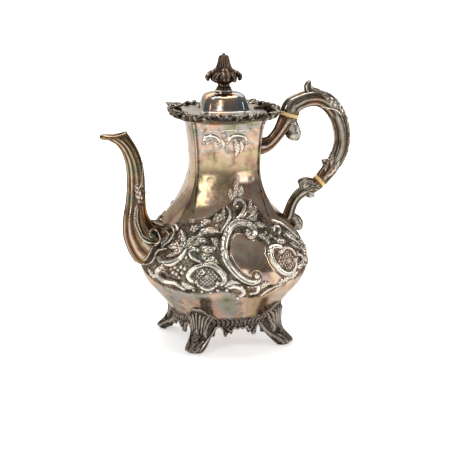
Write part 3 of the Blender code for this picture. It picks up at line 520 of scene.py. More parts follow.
class ChasedSheet:
    """A band of a form seen from the front: rows along it, columns round it.

    stations are distances or heights along the form, mapped is the isothermal map at each of them,
    walked is the distance in millimetres along the surface and radii the form's mean radius.
    """

    def __init__(self, form, low, high, half_angle, columns, rows):
        stations, radii, mapped, walked = form
        reach = np.linspace(np.interp(low, stations, walked), np.interp(high, stations, walked), rows + 1)
        self.stations, self.mapped = stations, mapped
        self.columns, self.rows = columns, rows
        self.height = np.interp(reach, walked, stations)
        self.angle = np.radians(np.linspace(-half_angle, half_angle, columns + 1))
        self.up = np.interp(self.height, stations, mapped)
        self.radius = np.interp(self.height, stations, radii)
        shape = (rows + 1, columns + 1)
        self.relief, self.crest, self.recess = np.zeros(shape), np.zeros(shape), np.zeros(shape)

    def on_map(self, points):
        """Design points (degrees from the front, height) as map points."""
        points = np.array(points, float)
        return np.stack([np.radians(points[:, 0]), np.interp(points[:, 1], self.stations, self.mapped)],
                        axis=1)

    def window(self, line, reach):
        """The part of the raster that lies within reach millimetres of a line."""
        middle = np.interp(line[:, 1].mean(), self.up, self.radius)
        pad = reach / max(middle * 0.8, 20.0)
        rows = np.searchsorted(self.up, (line[:, 1].min() - pad, line[:, 1].max() + pad))
        columns = np.searchsorted(self.angle, (line[:, 0].min() - pad, line[:, 0].max() + pad))
        return slice(*rows), slice(*columns)

    def near(self, points, reach, steps=5):
        """Distance, signed side and share along a line, for the points of the raster near it."""
        line = smooth_line(self.on_map(points), steps)
        place = self.window(line, reach)
        across, up = np.meshgrid(self.angle[place[1]], self.up[place[0]])
        scale = self.radius[place[0]][:, None]
        best = np.full(across.shape, 1e9)
        share, side = np.zeros(across.shape), np.ones(across.shape)
        lengths = np.hypot(*np.diff(line, axis=0).T)
        starts = np.concatenate([[0.0], np.cumsum(lengths)])
        for i, ((x0, y0), (x1, y1)) in enumerate(zip(line, line[1:])):
            run = max(lengths[i], 1e-9)
            dx, dy = (x1 - x0) / run, (y1 - y0) / run
            along = np.clip((across - x0) * dx + (up - y0) * dy, 0.0, run)
            ox, oy = across - x0 - along * dx, up - y0 - along * dy
            gap = ox * ox + oy * oy
            closer = gap < best
            best = np.where(closer, gap, best)
            share = np.where(closer, (starts[i] + along) / starts[-1], share)
            side = np.where(closer, np.sign(dx * oy - dy * ox), side)
        return place, np.sqrt(best) * scale, side, share

    def lay(self, place, form, inside, shine):
        """Lays a raised form over what is there, with a darkened line round it."""
        rim = np.exp(-((inside - 1.18) / 0.22)**2) * (inside > 1.0)
        old = self.relief[place]
        cut = old - 0.45 * rim * form.max()**0.5
        self.relief[place] = np.where(inside < 1.0, np.maximum(old * 0.35 + form, form), cut)
        keep = np.where(inside < 1.0, 0.15 + 0.35 * ease(inside, 0.75, 1.0), 1.0)
        self.recess[place] = np.maximum(self.recess[place] * keep, 0.9 * rim)
        self.crest[place] = np.where(inside < 1.0, shine, self.crest[place] * (1.0 - 0.6 * rim))

    def rib(self, points, width, lift, taper=(0.45, 1.0, 0.55), groove=0.0, knobs=(0.0, 0.0)):
        """A scroll line: a half-round rib that swells in the middle and can end in round knobs."""
        place, gap, _, share = self.near(points, width * 2.6)
        half = width * np.interp(share, (0.0, 0.45, 1.0), taper)
        inside = gap / half
        dome = np.sqrt(np.clip(1.0 - inside**2, 0.0, 1.0))
        form = lift * np.interp(share, (0.0, 0.45, 1.0), (0.7, 1.0, 0.75)) * dome
        form = form * (1.0 - groove * np.exp(-(inside / 0.3)**2))
        self.lay(place, form, inside, 0.25 + 0.75 * ease(dome, 0.45, 0.95))
        for knob, end in zip(knobs, (points[0], points[-1])):
            if knob:
                self.boss(*end, knob, lift * 1.15)

    def boss(self, angle, height, radius, lift):
        """A round bead or berry."""
        place, gap, _, _ = self.near(((angle - 0.01, height), (angle + 0.01, height)), radius * 2.2, 1)
        inside = gap / radius
        dome = np.sqrt(np.clip(1.0 - inside**2, 0.0, 1.0))
        self.lay(place, lift * dome, inside, 0.2 + 0.8 * ease(dome, 0.5, 0.97))

    def leaf(self, points, width, lift, lobes=5, bite=0.3):
        """A leaf along its midrib: lobed edges, a groove down the middle and side veins."""
        place, gap, side, share = self.near(points, width * 1.6)
        outline = np.sin(HALF_TURN * np.clip(share, 0.02, 1.0)**0.8)**0.75
        notch = np.abs(np.sin(HALF_TURN * (lobes * share + 0.25 * side)))
        half = width * outline * (1.0 - bite + bite * notch) + 0.12
        inside = gap / half
        dome = np.clip(1.0 - inside**2, 0.0, 1.0)**0.6
        veins = 0.5 + 0.5 * np.cos(FULL_TURN * (lobes * share + 0.25 * side - 0.55 * gap / width))
        form = lift * dome * (0.62 + 0.38 * veins) * (1.0 - 0.5 * np.exp(-(gap / (0.16 * width))**2))
        self.lay(place, form, inside, 0.15 + 0.75 * veins * ease(dome, 0.3, 0.9))

    def flower(self, angle, height, radius, lift, petals=5, turned=0.0):
        """An open flower: cupped petals round a beaded eye."""
        place, gap, _, _ = self.near(((angle - 0.01, height), (angle + 0.01, height)), radius * 1.6, 1)
        centre = self.on_map(((angle, height),))[0]
        across, up = np.meshgrid(self.angle[place[1]] - centre[0], self.up[place[0]] - centre[1])
        bearing = np.arctan2(up, across) + turned
        petal = np.abs(np.cos(petals * bearing / 2))**0.7
        edge = radius * (0.52 + 0.48 * petal)
        inside = gap / edge
        dish = np.clip(1.0 - inside**4, 0.0, 1.0)**0.5 * (0.35 + 0.65 * petal) * ease(gap / radius, 0.1, 0.75)
        self.lay(place, lift * (0.25 + 0.75 * dish), inside, 0.1 + 0.8 * ease(dish, 0.35, 0.9))
        self.boss(angle, height, radius * 0.3, lift * 0.95)

    def shell(self, points, width, lift, flutes, outer=1.0):
        """Fluted shellwork that fans out from one side of a line."""
        place, gap, side, share = self.near(points, width * 1.4)
        beyond = gap * side * outer
        wave = 0.5 + 0.5 * np.cos(FULL_TURN * (flutes * share + 0.08 * beyond / width))
        reach = width * np.sin(HALF_TURN * np.clip(share, 0.03, 0.97))**0.5 * (0.7 + 0.3 * wave)
        inside = np.where(beyond > -0.3, np.abs(beyond) / reach, 9.0)
        slope = np.clip(1.0 - inside, 0.0, 1.0)**0.45
        self.lay(place, lift * slope * (0.35 + 0.65 * wave), inside, 0.1 + 0.8 * wave * slope)

    def inside_shape(self, points):
        """True inside a closed outline of design points."""
        outline = smooth_line(self.on_map(list(points) + [points[0]]), 5)
        across, up = np.meshgrid(self.angle, self.up)
        hit = np.zeros(across.shape, bool)
        for (x0, y0), (x1, y1) in zip(outline, outline[1:]):
            if y0 != y1:
                crossing = x0 + (up - y0) * (x1 - x0) / (y1 - y0)
                hit ^= ((y0 > up) != (y1 > up)) & (across < crossing)
        return hit

    def field(self, points, level):
        """A smooth polished field, raised to one level, that a frame encloses."""
        hit = self.inside_shape(points)
        self.relief[hit] = level
        self.recess[hit] = 0.0
        self.crest[hit] = 0.12

    def diaper(self, points, pitch, lift):
        """Crossed cuts that leave rows of small pyramids."""
        hit = self.inside_shape(points)
        across, up = np.meshgrid(self.angle, self.up)
        scale = self.radius[:, None] / pitch * HALF_TURN
        first_cuts = np.abs(np.cos((across + up) * scale * 0.7))
        crossing_cuts = np.abs(np.cos((across - up) * scale * 0.7))
        pyramid = first_cuts * crossing_cuts
        self.relief[hit] = (lift * pyramid)[hit]
        self.recess[hit] = (0.85 * (1.0 - ease(pyramid, 0.2, 0.75)))[hit]
        self.crest[hit] = (0.5 * ease(pyramid, 0.5, 0.95))[hit]


print("map of the body rises", round(float(BODY_FORM[2][-1]), 3))

# %% [markdown]
# The belly's ornament is laid out on one side and mirrored for the other. A large C scroll frames a
# plain field in the middle; beside it stand a round diapered cartouche, an oval one, flowers, berries,
# crescents and flame-like plumes, and a matted ground fills what is left between them.

# %% Chasing the belly
belly = ChasedSheet(BODY_FORM, 50.0, 168.0, 90.0, 400, 244)
across, up_height = np.meshgrid(np.degrees(belly.angle), belly.height)
LOWER_EDGE = ((-90, 72), (-64, 64), (-50, 62), (-39, 61), (-27, 62), (-18, 64), (-12, 65), (-2, 59), (8, 56),
              (16, 57), (23, 61), (29, 66), (39, 69), (55, 68), (90, 72))
UPPER_EDGE = ((-90, 116), (-68, 110), (-58, 113), (-53, 124), (-44, 130), (-33, 129), (-25, 134), (-16, 139),
              (-6, 143), (2, 147), (15, 146), (24, 143), (27, 134), (31, 126), (38, 124), (46, 119), (60, 108),
              (90, 104))
low_edge = np.interp(across, *zip(*LOWER_EDGE))
high_edge = np.interp(across, *zip(*UPPER_EDGE))
ground = ease(up_height - low_edge, -1.0, 2.0) * ease(high_edge - up_height, -1.0, 2.0)
dice = np.random.default_rng(11)
matting = dice.normal(size=ground.shape)
matting = (matting + np.roll(matting, 1, 0) + np.roll(matting, 1, 1) + np.roll(matting, (1, 1), (0, 1))) / 2.0
belly.relief += ground * (0.16 * matting - 0.1)
belly.recess += ground * np.clip(0.86 + 0.16 * matting, 0.0, 1.0)

# polished field inside the great scroll, and its neighbours' diapered fields
belly.field(((-9, 108), (-5, 116), (1, 117), (8, 113), (14, 110), (18, 105), (20, 98), (20, 92), (22, 85),
             (26, 77), (29, 72), (22, 69), (12, 72), (3, 77), (-4, 85), (-9, 96)), 0.5)
belly.diaper(((-33, 80), (-31, 86), (-25, 88), (-19, 85), (-17, 79), (-20, 74), (-26, 72), (-31, 75)),
             2.6, 0.9)
belly.diaper(((27, 98), (31, 99), (38, 97), (42, 91), (42, 84), (37, 80), (30, 82), (26, 89)), 2.6, 0.9)

# scattered leaves first, so that the scrolls lie over them
FAN_LEAVES = (((-40, 104), (-36, 109), (-32, 112), (-27, 110)), ((-44, 105), (-41, 110), (-37, 115)),
              ((-37, 114), (-31, 119), (-26, 120), (-17, 118)), ((-36, 123), (-31, 127), (-26, 127)),
              ((-53, 109), (-47, 110), (-47, 104), (-52, 98), (-58, 94)), ((-58, 103), (-52, 105), (-47, 103)),
              ((-63, 112), (-66, 106), (-64, 99)), ((-52, 118), (-49, 113), (-43, 110)),
              ((-30, 100), (-25, 97), (-19, 97)), ((-31, 106), (-25, 104), (-19, 106)),
              ((-27, 93), (-22, 95), (-17, 92)), ((-24, 113), (-19, 110), (-17, 104)),
              ((16, 114), (20, 113), (22, 110), (22, 105)), ((10, 128), (16, 129), (23, 132)),
              ((15, 121), (20, 123), (26, 121)), ((14, 134), (20, 135), (25, 139)), 
              ((24, 105), (22, 99), (22, 94)),
              ((36, 74), (42, 73), (47, 76)), ((47, 79), (52, 80), (55, 86)), ((44, 103), (50, 100), (56, 94)),
              ((57, 96), (63, 94), (69, 88)), ((58, 86), (64, 82), (70, 78)), 
              ((30, 110), (34, 107), (40, 106)),
              ((46, 113), (51, 109), (58, 104)), ((60, 101), (67, 99), (75, 95)), 
              ((72, 90), (78, 88), (84, 82)),
              ((-13, 71), (-8, 75), (-3, 74)), ((10, 66), (14, 70), (19, 71)), ((25, 66), (31, 71), (38, 73)),
              ((-43, 72), (-39, 69), (-34, 69)), ((-67, 72), (-73, 74), (-78, 79)),
              ((-70, 105), (-76, 103), (-82, 98)))
for leaf in FAN_LEAVES:
    belly.leaf(leaf, 3.6, 1.5, 4)

# berries and beads
for berry in ((-52, 84), (-49, 86), (-46, 84), (-50, 81), (-47, 80), (-44, 87), (-43, 82), (-45, 77),
              (-41, 86)):
    belly.boss(*berry, 2.0, 1.3)
BEADS = ((-35, 66), (-29, 65), (-23, 64), (-18, 67), (23, 116), (26, 113), (29, 110), (-21, 124), (31, 119),
         (47, 88), (50, 93), (36, 115), (40, 111), (-41, 96), (-13, 92), (-16, 112), (12, 123), (3, 70))
for bead in BEADS:
    belly.boss(*bead, 1.5, 1.1)

# flowers
belly.flower(-20, 130, 5.2, 1.8, 5, 0.4)
belly.flower(-40, 121, 4.0, 1.6, 5, 0.1)
belly.flower(-44, 127.5, 2.8, 1.4, 5, 0.8)
belly.flower(-59, 82, 3.6, 1.4, 6)
belly.flower(36, 88.5, 3.0, 1.3, 4, 0.5)
belly.flower(63, 90, 4.4, 1.6, 5, 0.2)
belly.flower(-25, 80, 2.6, 1.4, 6, 0.2)

# shellwork outside the great scroll and up the plume
belly.shell(((-9, 120), (-13, 114), (-15, 106), (-13, 97), (-10, 90)), 4.6, 1.5, 9, -1.0)
belly.shell(((30, 101), (23, 103), (20, 98), (22, 90)), 3.4, 1.2, 6, -1.0)

# scrolls, thick to thin
belly.rib(((-65, 118), (-60, 121), (-55, 118)), 2.0, 1.5)
belly.rib(((-66, 91), (-62, 88.5), (-56, 88.5), (-50, 91), (-45, 96), (-42, 103)),
          4.0, 2.2, (0.4, 1.0, 0.35), 0.2)
belly.rib(((-60, 84), (-64, 80), (-65, 76), (-62, 73), (-57, 71), (-49, 71), (-42, 66)),
          3.3, 2.2, (0.8, 1.0, 0.5), 0.2, (2.3, 0.0))
belly.rib(((-33, 103), (-37, 104), (-39, 101), (-37, 97), (-34, 94.5), (-30, 93)), 1.8, 1.7, (0.8, 1.0, 0.5),
          0.0, (1.9, 0.0))
belly.rib(((-32, 75), (-36, 76), (-38, 80), (-36, 85), (-32, 89), (-27, 91)), 2.9, 2.4, (0.8, 1.0, 0.6), 0.2,
          (2.2, 0.0))
belly.rib(((-27, 91), (-22, 91), (-18, 88), (-14.5, 83), (-13.5, 77), (-15.5, 74), (-18, 75)), 3.4, 2.6,
          (0.5, 1.0, 0.6), 0.25, (0.0, 2.3))
belly.rib(((-31, 72), (-28, 69), (-23, 68), (-19, 72)), 1.8, 1.6, (0.7, 1.0, 0.6), 0.0, (1.8, 1.6))
belly.rib(((-29, 87), (-27, 84), (-29, 82)), 1.1, 1.1)
belly.rib(((-12, 68), (-10, 70), (-6, 71), (-2, 68), (0, 63), (-4, 59)), 2.6, 2.0, (0.6, 1.0, 0.6),
          0.0, (2.0, 1.7))
belly.rib(((5, 70), (9, 70), (10, 66), (9, 63), (5, 63)), 2.1, 1.8, (0.7, 1.0, 0.7), 0.0, (1.6, 1.6))
belly.rib(((14, 59), (18, 64), (23, 67), (30, 68)), 1.7, 1.5, (0.5, 1.0, 0.4))
belly.rib(((30, 98), (31.5, 101.5), (28, 103.5), (23, 103), (21, 98), (22, 91), (25, 85), (29, 80), (34, 77),
           (40, 77.5), (43.5, 82), (43, 87)), 3.2, 2.5, (0.8, 1.0, 0.7), 0.35, (2.2, 2.0))
belly.rib(((33, 99), (38, 100.5), (43, 97.5), (46, 91)), 1.7, 1.6, (0.8, 1.0, 0.5), 0.0, (1.8, 0.0))
belly.rib(((49, 91), (54, 89), (56, 84), (53, 79)), 1.9, 1.7, (0.7, 1.0, 0.6), 0.0, (1.8, 0.0))
belly.rib(((31, 117), (34, 120), (38, 119), (38, 115), (35, 114)), 1.5, 1.5, (0.7, 1.0, 0.7), 0.0, (0.0, 1.5))
belly.rib(((42, 113), (46, 108), (52, 104), (58, 98)), 1.6, 1.4)
belly.rib(((34, 126), (41, 123), (49, 117), (57, 109), (68, 98), (80, 92)), 1.5, 1.4, (0.4, 1.0, 0.4))
belly.rib(((60, 78), (66, 75), (73, 78), (76, 86), (72, 92)), 2.3, 1.8, (0.5, 1.0, 0.7), 0.2, (0.0, 2.0))
belly.rib(((12, 134), (8, 131), (3, 129), (-4, 126), (-10, 121)), 1.6, 1.4, (0.6, 1.0, 0.4))
belly.rib(((7, 117), (9, 114.5), (13, 117), (13.5, 121), (9.5, 124.5), (2, 125.5), (-5, 123.5), (-10, 119),
           (-13, 113), (-14, 106), (-13, 98), (-10.5, 91.5), (-7, 85.5), (-3, 80), (1.5, 76), (5.5, 74.5),
           (9, 76), (8, 80)), 4.0, 3.0, (0.8, 1.0, 0.8), 0.45, (3.2, 2.8))

# leaf spray that climbs to the neck, and the plume's scroll over it
for spray in (((1, 147), (4, 153), (6, 158), (9, 162)), ((7, 147), (11.5, 152), (13, 157)),
              ((-2, 145), (-5, 150), (-4, 155)), ((16, 134), (19, 138.5), (21.5, 145)),
              ((12, 128), (18.3, 132), (22, 138)), ((-13, 128), (-15, 134), (-13, 140))):
    belly.leaf(spray, 1.8, 0.7, 4)
belly.rib(((-10.4, 139), (-7.2, 135), (-7.6, 130), (-11.3, 124.6), (-16, 118.7)), 2.3, 1.9, (0.4, 1.0, 0.5),
          0.2)
belly.rib(((2.6, 138.4), (0.4, 140.6), (1.4, 143.4), (5.4, 145), (9.7, 144.6), (12.6, 141.4), (11.3, 137.1),
           (5.8, 132.1), (-1, 128.4), (-8.3, 124.5)), 1.9, 2.4, (1.0, 1.0, 0.6), 0.2, (2.0, 0.0))
belly.relief = np.clip(belly.relief, -0.2, 3.3)
print("belly relief", round(float(belly.relief.min()), 2), "to", round(float(belly.relief.max()), 2), "mm")


# %% [markdown]
# Above the belly the neck rises in four plain panels. Its corners are narrow raised strips between two
# creases, and near the lip each broad panel has a light chased pair of C scrolls with a leaf pendant.
# The same sheet tool is used, with a finer raster, and the corner strips are pushed up as it is wrapped.

# %% Neck sheets and plain bowl
neck = ChasedSheet(BODY_FORM, 168.0, 222.4, 90.0, 260, 110)
for c_scroll in (((-41, 199.6), (-40, 204), (-35.8, 206.1), (-29.3, 205.9), (-23.1, 203.9), (-20.4, 200.4),
                  (-23.7, 199.3)),
                 ((-8.4, 199.3), (-6.4, 201.6), (-3, 204.6), (4.4, 206.2), (13.4, 205.4), (19.5, 202.8),
                  (20.4, 198.6))):
    neck.rib(c_scroll, 1.4, 1.0, (0.9, 1.0, 0.7), 0.2, (1.3, 1.3))
neck.rib(((-38, 198), (-33, 201), (-28, 201), (-25, 197)), 0.8, 0.7)
neck.rib(((-3, 199), (2, 202), (10, 202), (16, 198)), 0.8, 0.7)
neck.leaf(((3, 203), (6, 198), (7.5, 192), (5, 185)), 3.0, 0.55, 6)
neck.leaf(((12, 200), (15, 195), (13, 189)), 1.9, 0.5, 3)
neck.leaf(((-17, 203), (-14.5, 198), (-15, 193)), 1.9, 0.5, 3)
neck.flower(-14, 206.5, 2.4, 0.6, 5)
neck.rib(((-46, 212), (-25, 210.5), (-6, 211.5), (13, 210.5), (33, 212)), 0.5, 0.35)


def corner_strip(angle, height):
    """Lift and darkening of the raised strip on each corner: full on the neck, fading at the shoulder."""
    chamfer = np.radians(outline_at(BODY_OUTLINE, height, 3))
    past_crease = (np.abs(panel_offset(angle)) - (HALF_TURN / 4 - chamfer)) * body_radius(angle, height)
    fade = ease(height, 116.0, 140.0)
    return 0.45 * fade * ease(past_crease, -0.3, 0.4), fade * np.exp(-(past_crease / 0.9)**2)


def body_sheet(name, chased, back):
    """A half of a band of the body. The back half reads the front's raster mirrored."""
    def cells(u, v):
        columns = np.rint(u * chased.columns).astype(int)
        if back:
            columns = chased.columns - columns
        return np.rint(v * chased.rows).astype(int), columns

    def spot(u, v):
        row, column = cells(u, v)
        angle = chased.angle[column] - HALF_TURN / 2
        return row, column, -angle if back else angle, chased.height[row]

    def place(u, v):
        row, column, angle, height = spot(u, v)
        return body_point(angle, height, SKIN + chased.relief[row, column] + corner_strip(angle, height)[0])

    def recess(u, v):
        row, column, angle, height = spot(u, v)
        return np.clip(chased.recess[row, column] + corner_strip(angle, height)[1], 0.0, 1.0)

    def crest(u, v):
        row, column, _, _ = spot(u, v)
        return np.clip(chased.crest[row, column], 0.0, 1.0)

    piece = wrap_grid(name, chased.columns, chased.rows, place, sheet_silver, False,
                      {"recess": recess, "crest": crest})
    return ride_pot(piece, "pot")


for band, chased in (("belly", belly), ("neck", neck)):
    body_sheet(f"{band}_front", chased, False)
    body_sheet(f"{band}_back", chased, True)


def bowl_place(u, v):
    height = 20.6 + (50.0 - 20.6) * v
    angle = FULL_TURN * u
    x, y = np.cos(angle) * 60.0, np.sin(angle) * 60.0
    return body_point(angle, height, SKIN + 0.12 * hills(x, y, height, 26.0, 5))


bowl = wrap_grid("lower_bowl", 300, 50, bowl_place, sheet_silver, False)
ride_pot(bowl, "pot")
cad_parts["body_shell"].data.materials.clear()
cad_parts["body_shell"].data.materials.append(sheet_silver)
print("belly triangles", 4 * belly.columns * belly.rows, "neck triangles", 4 * neck.columns * neck.rows)

# %% [markdown]
# The lid is raised from one sheet: a low panelled dome with a flat brim. Its outline is turned into a
# closed skin, over the dome, round the brim's edge and back beneath, so that an open lid shows a wall.

# %% Lid dome
LID_OUTLINE = np.array((
    (242.9, 0.0, 0.0), (242.9, 3.0, 3.0), (242.9, 8.5, 8.5), (242.5, 13.5, 14.0), (241.0, 17.6, 19.0),
    (238.6, 20.4, 22.6), (235.0, 21.9, 24.8), (231.0, 22.9, 26.2), (228.2, 23.6, 27.1), (226.7, 24.4, 28.2),
    (225.9, 25.8, 29.8), (225.7, 27.6, 31.6), (225.7, 34.0, 39.6), (225.7, 39.4, 46.6), (225.5, 40.0, 47.2),
    (225.0, 40.0, 47.2), (224.9, 39.4, 46.6), (224.9, 27.0, 30.6), (225.4, 24.6, 28.6), (227.6, 23.0, 26.6),
    (231.0, 22.1, 25.4), (235.6, 20.8, 23.6), (239.0, 18.0, 19.6), (241.4, 13.6, 14.2), (242.1, 7.0, 7.0),
    (242.1, 0.0, 0.0)))


def lid_place(u, v):
    height, mid, corner = along_outline(LID_OUTLINE, v)
    angle = FULL_TURN * u
    chamfer = np.radians(np.where(corner - mid < 2.0, 12.0, 8.0))
    mid, corner = np.maximum(mid, 0.0), np.maximum(corner, 1e-6)
    radius = panel_radius(panel_offset(angle), np.maximum(mid, 1e-6), corner, chamfer)
    dent = 0.1 * hills(radius * np.cos(angle), radius * np.sin(angle), height, 22.0, 8)
    radius = np.where(radius > 0.01, radius + dent * ease(radius, 2.0, 20.0), 0.0)
    return radius * np.cos(angle), radius * np.sin(angle), height


def lid_brim_painted_light(u, v):
    """The flat brim is painted brighter than the dome: painted light over the dark reflections and shade on
    it.
    """
    x, y, _ = lid_place(u, v)
    return 0.4 * ease(np.hypot(x, y), 29.0, 33.0)


# the brim's brighter band in the crest field is painted light
lid = wrap_grid("lid_skin", 240, 200, lid_place, lid_silver, True, {"crest": lid_brim_painted_light})
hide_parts("lid_dome")
ride_pot(lid, "lid")


def refinish(node, material):
    """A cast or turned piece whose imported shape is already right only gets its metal."""
    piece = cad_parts[node]
    piece.data.materials.clear()
    piece.data.materials.append(material)


refinish("lid_bezel", lid_silver)
refinish("finial_nut", aged_brass)
refinish("finial_washer", bright_silver)
for pin in ("hinge_pin", "upper_socket_pin", "upper_grip_pin", "lower_socket_pin", "lower_grip_pin"):
    refinish(pin, bright_silver)
for leaf in ("hinge_body_leaf", "hinge_lid_leaf"):
    refinish(leaf, cast_silver)
print("lid box", [round(1000 * v, 1) for v in lid.dimensions])

# %% [markdown]
# Spout, handle and sockets are cast tubes that follow a route in the upright plane through the pot.
# A tube's side is chased with the same tools: degrees round it, from its outer edge (-90) past the
# side that faces the front (0) to its inner edge (90), and millimetres along it. The far side mirrors it.

# %% Cast tubes
def tube_form(route):
    """Map of a tube for chasing. route rows: x, z, across x, across z, half-depth, half-width."""
    walked = walk(route[:, :2])
    radii = 0.5 * (route[:, 4] + route[:, 5])
    mapped = np.concatenate([[0.0], np.cumsum(np.diff(walked) / (0.5 * (radii[1:] + radii[:-1])))])
    return walked, radii, mapped, walked


def tube_route(points, first=None, last=None, steps=8):
    """A smooth route from centres and half-sizes, with its across direction at each point."""
    line = smooth_line(points, steps)
    run = np.gradient(line[:, :2], axis=0)
    if first is not None:
        run[0] = first
    if last is not None:
        run[-1] = last
    run /= np.linalg.norm(run, axis=1)[:, None]
    return np.column_stack([line[:, :2], -run[:, 1], run[:, 0], line[:, 2:4]])


END_INSET = 0.09


def cast_tube(name, route, chased, material, start=None, hollow=0.0):
    """A tube round a route, raised by its chased side. `start` lands its first ring on the body, and
    `hollow` sinks the middle of the last ring into a mouth."""
    walked = tube_form(route)[0]

    def cells(u, v):
        column = np.rint(u * 2 * chased.columns).astype(int)
        back = column > chased.columns
        column = np.where(back, 2 * chased.columns - column, column)
        row = np.clip(np.rint(v * (chased.rows + 4)).astype(int) - 2, -2, chased.rows + 2)
        return row, column, back

    def place(u, v):
        row, column, back = cells(u, v)
        inside = np.clip(row, 0, chased.rows)
        along = chased.height[inside] - hollow * (row > chased.rows + 1)
        x, z, ax, az, deep, wide = (np.interp(along, walked, route[:, i]) for i in range(6))
        angle = chased.angle[column]
        lift = chased.relief[inside, column]
        shrink = np.where((row < 0) | (row > chased.rows), 0.84 if hollow else 0.65, 1.0)
        shrink = np.where((row == -2) | (row == chased.rows + 2), 0.0, shrink)
        inset = np.where((row < 0) | (row > chased.rows), 0.0 if hollow else END_INSET, 0.0)
        across = ((deep - inset + lift) * np.sin(angle)) * shrink
        toward = ((wide - inset + lift) * np.cos(angle)) * shrink
        y = np.where(back, toward, -toward)
        px, pz = x + ax * across, z + az * across
        if start is not None:
            px, y, pz = start(px, y, pz, along)
        return px, y, pz

    def read(layer):
        def values(u, v):
            row, column, _ = cells(u, v)
            return np.clip(layer[np.clip(row, 0, chased.rows), column], 0.0, 1.0)
        return values

    piece = wrap_grid(name, 2 * chased.columns, chased.rows + 4, place, material, True,
                      {"recess": read(chased.recess), "crest": read(chased.crest)})
    return ride_pot(piece, "pot")


def reed(chased, count, lift, low, high, phase=0.0):
    """Reeds that run along a tube: rounded ridges between sharp dark furrows."""
    fade = ease(chased.height, low - 1.0, low + 5.0) * ease(-chased.height, -high - 1.0, -high + 5.0)
    fade = fade[:, None]
    turns = np.abs(np.cos(chased.angle * count / 2.0 + phase))[None, :]
    chased.relief += fade * lift * (turns**0.55 - 0.6)
    chased.recess = np.maximum(chased.recess, fade * (1.0 - ease(turns, 0.12, 0.6)))
    chased.crest = np.maximum(chased.crest, fade * 0.45 * ease(turns, 0.8, 1.0))


# %% [markdown]
# The spout is a swan neck: a broad collar on the belly, a tube that rises and bends out, and a lip cut
# level. Reeds run its whole length, broken halfway by a curled leaf. Its lowest rings are pulled in
# until they meet the belly, so that the collar closes on the body.

# %% Spout
SPOUT_SECTIONS = np.array((
    (-84.6, 75.6, -60.6, 113.4, 17.6), (-87.4, 78.6, -66.0, 115.2, 16.6), (-94.0, 89.0, -71.4, 118.8, 14.8),
    (-98.8, 102.5, -74.6, 123.8, 12.6), (-99.9, 114.0, -76.6, 129.6, 11.2), (-98.9, 126.0, -77.4, 136.4, 10.0),
    (-96.8, 137.0, -77.8, 142.8, 9.2), (-95.5, 149.0, -78.0, 150.5, 8.6), (-95.2, 160.0, -78.2, 160.0, 8.2),
    (-95.4, 170.0, -78.9, 169.0, 7.9), (-96.8, 179.0, -80.4, 177.5, 7.6), (-99.4, 186.6, -83.0, 185.6, 7.3),
    (-102.6, 192.4, -86.2, 192.8, 7.1), (-106.6, 196.6, -89.6, 198.6, 7.0), (-112.0, 199.8, -92.6, 203.4, 6.7),
    (-118.0, 203.4, -95.0, 207.0, 6.0)))
spout_line = smooth_line(SPOUT_SECTIONS, 8)
spout_centre = 0.5 * (spout_line[:, 0:2] + spout_line[:, 2:4])
spout_across = spout_line[:, 2:4] - spout_line[:, 0:2]
spout_depth = 0.5 * np.linalg.norm(spout_across, axis=1)
spout_route = np.column_stack([spout_centre, spout_across / (2.0 * spout_depth[:, None]), spout_depth,
                               spout_line[:, 4]])
spout_form = tube_form(spout_route)
spout_length = float(spout_form[0][-1])
spout_side = ChasedSheet(spout_form, 0.0, spout_length, 90.0, 64, 300)
reed(spout_side, 11, 1.0, 2.0, 120.0, 0.3)
LEAF_AT = 62.0
spout_side.leaf(((52, LEAF_AT - 15), (24, LEAF_AT - 8), (2, LEAF_AT + 1), (-18, LEAF_AT + 7)), 4.4, 0.9, 4)
spout_side.leaf(((66, LEAF_AT - 6), (50, LEAF_AT + 2), (42, LEAF_AT + 11)), 3.0, 0.8, 3)


def land_on_body(depth, sunk):
    """A landing for a tube's first rings: they are pulled in to the body's surface, over a depth."""
    def landed(x, y, z, along):
        share = 1.0 - ease(along, 0.0, depth)
        angle, reach = np.arctan2(y, x), np.hypot(x, y)
        surface = body_radius(angle, z) - sunk
        reach = reach + (np.minimum(surface, reach) - reach) * share
        return reach * np.cos(angle), reach * np.sin(angle), z
    return landed


spout = cast_tube("spout_casting", spout_route, spout_side, spout_silver, land_on_body(7.0, 0.6),
                  26.0)
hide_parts("spout")
print("spout", round(spout_length, 1), "mm along")

# %% [markdown]
# The handle is in three castings between two ivory discs: an upper limb on the neck, a hollow grip in a
# broad C, and a lower limb on the shoulder. The routes and sizes are the castings' own; flutes, leaves
# and knuckles are chased on their sides.

# %% Handle castings
UPPER_JOINT, UPPER_FACING, UPPER_HALF = np.array((65.4, 218.2)), math.radians(73.2), (9.5, 7.6)
LOWER_JOINT, LOWER_FACING, LOWER_HALF = np.array((97.4, 151.2)), math.radians(42.0), (6.9, 6.4)
DISC_HALF, JOINT_GAP = 1.9, 0.2


def facing(angle):
    return np.array((math.cos(angle), math.sin(angle)))


def joint_end(joint, angle, half, way):
    """The section where a casting meets its ivory disc: place and half-sizes. way is 1 past the disc."""
    return (*(joint + way * facing(angle) * (DISC_HALF + JOINT_GAP)), *half)


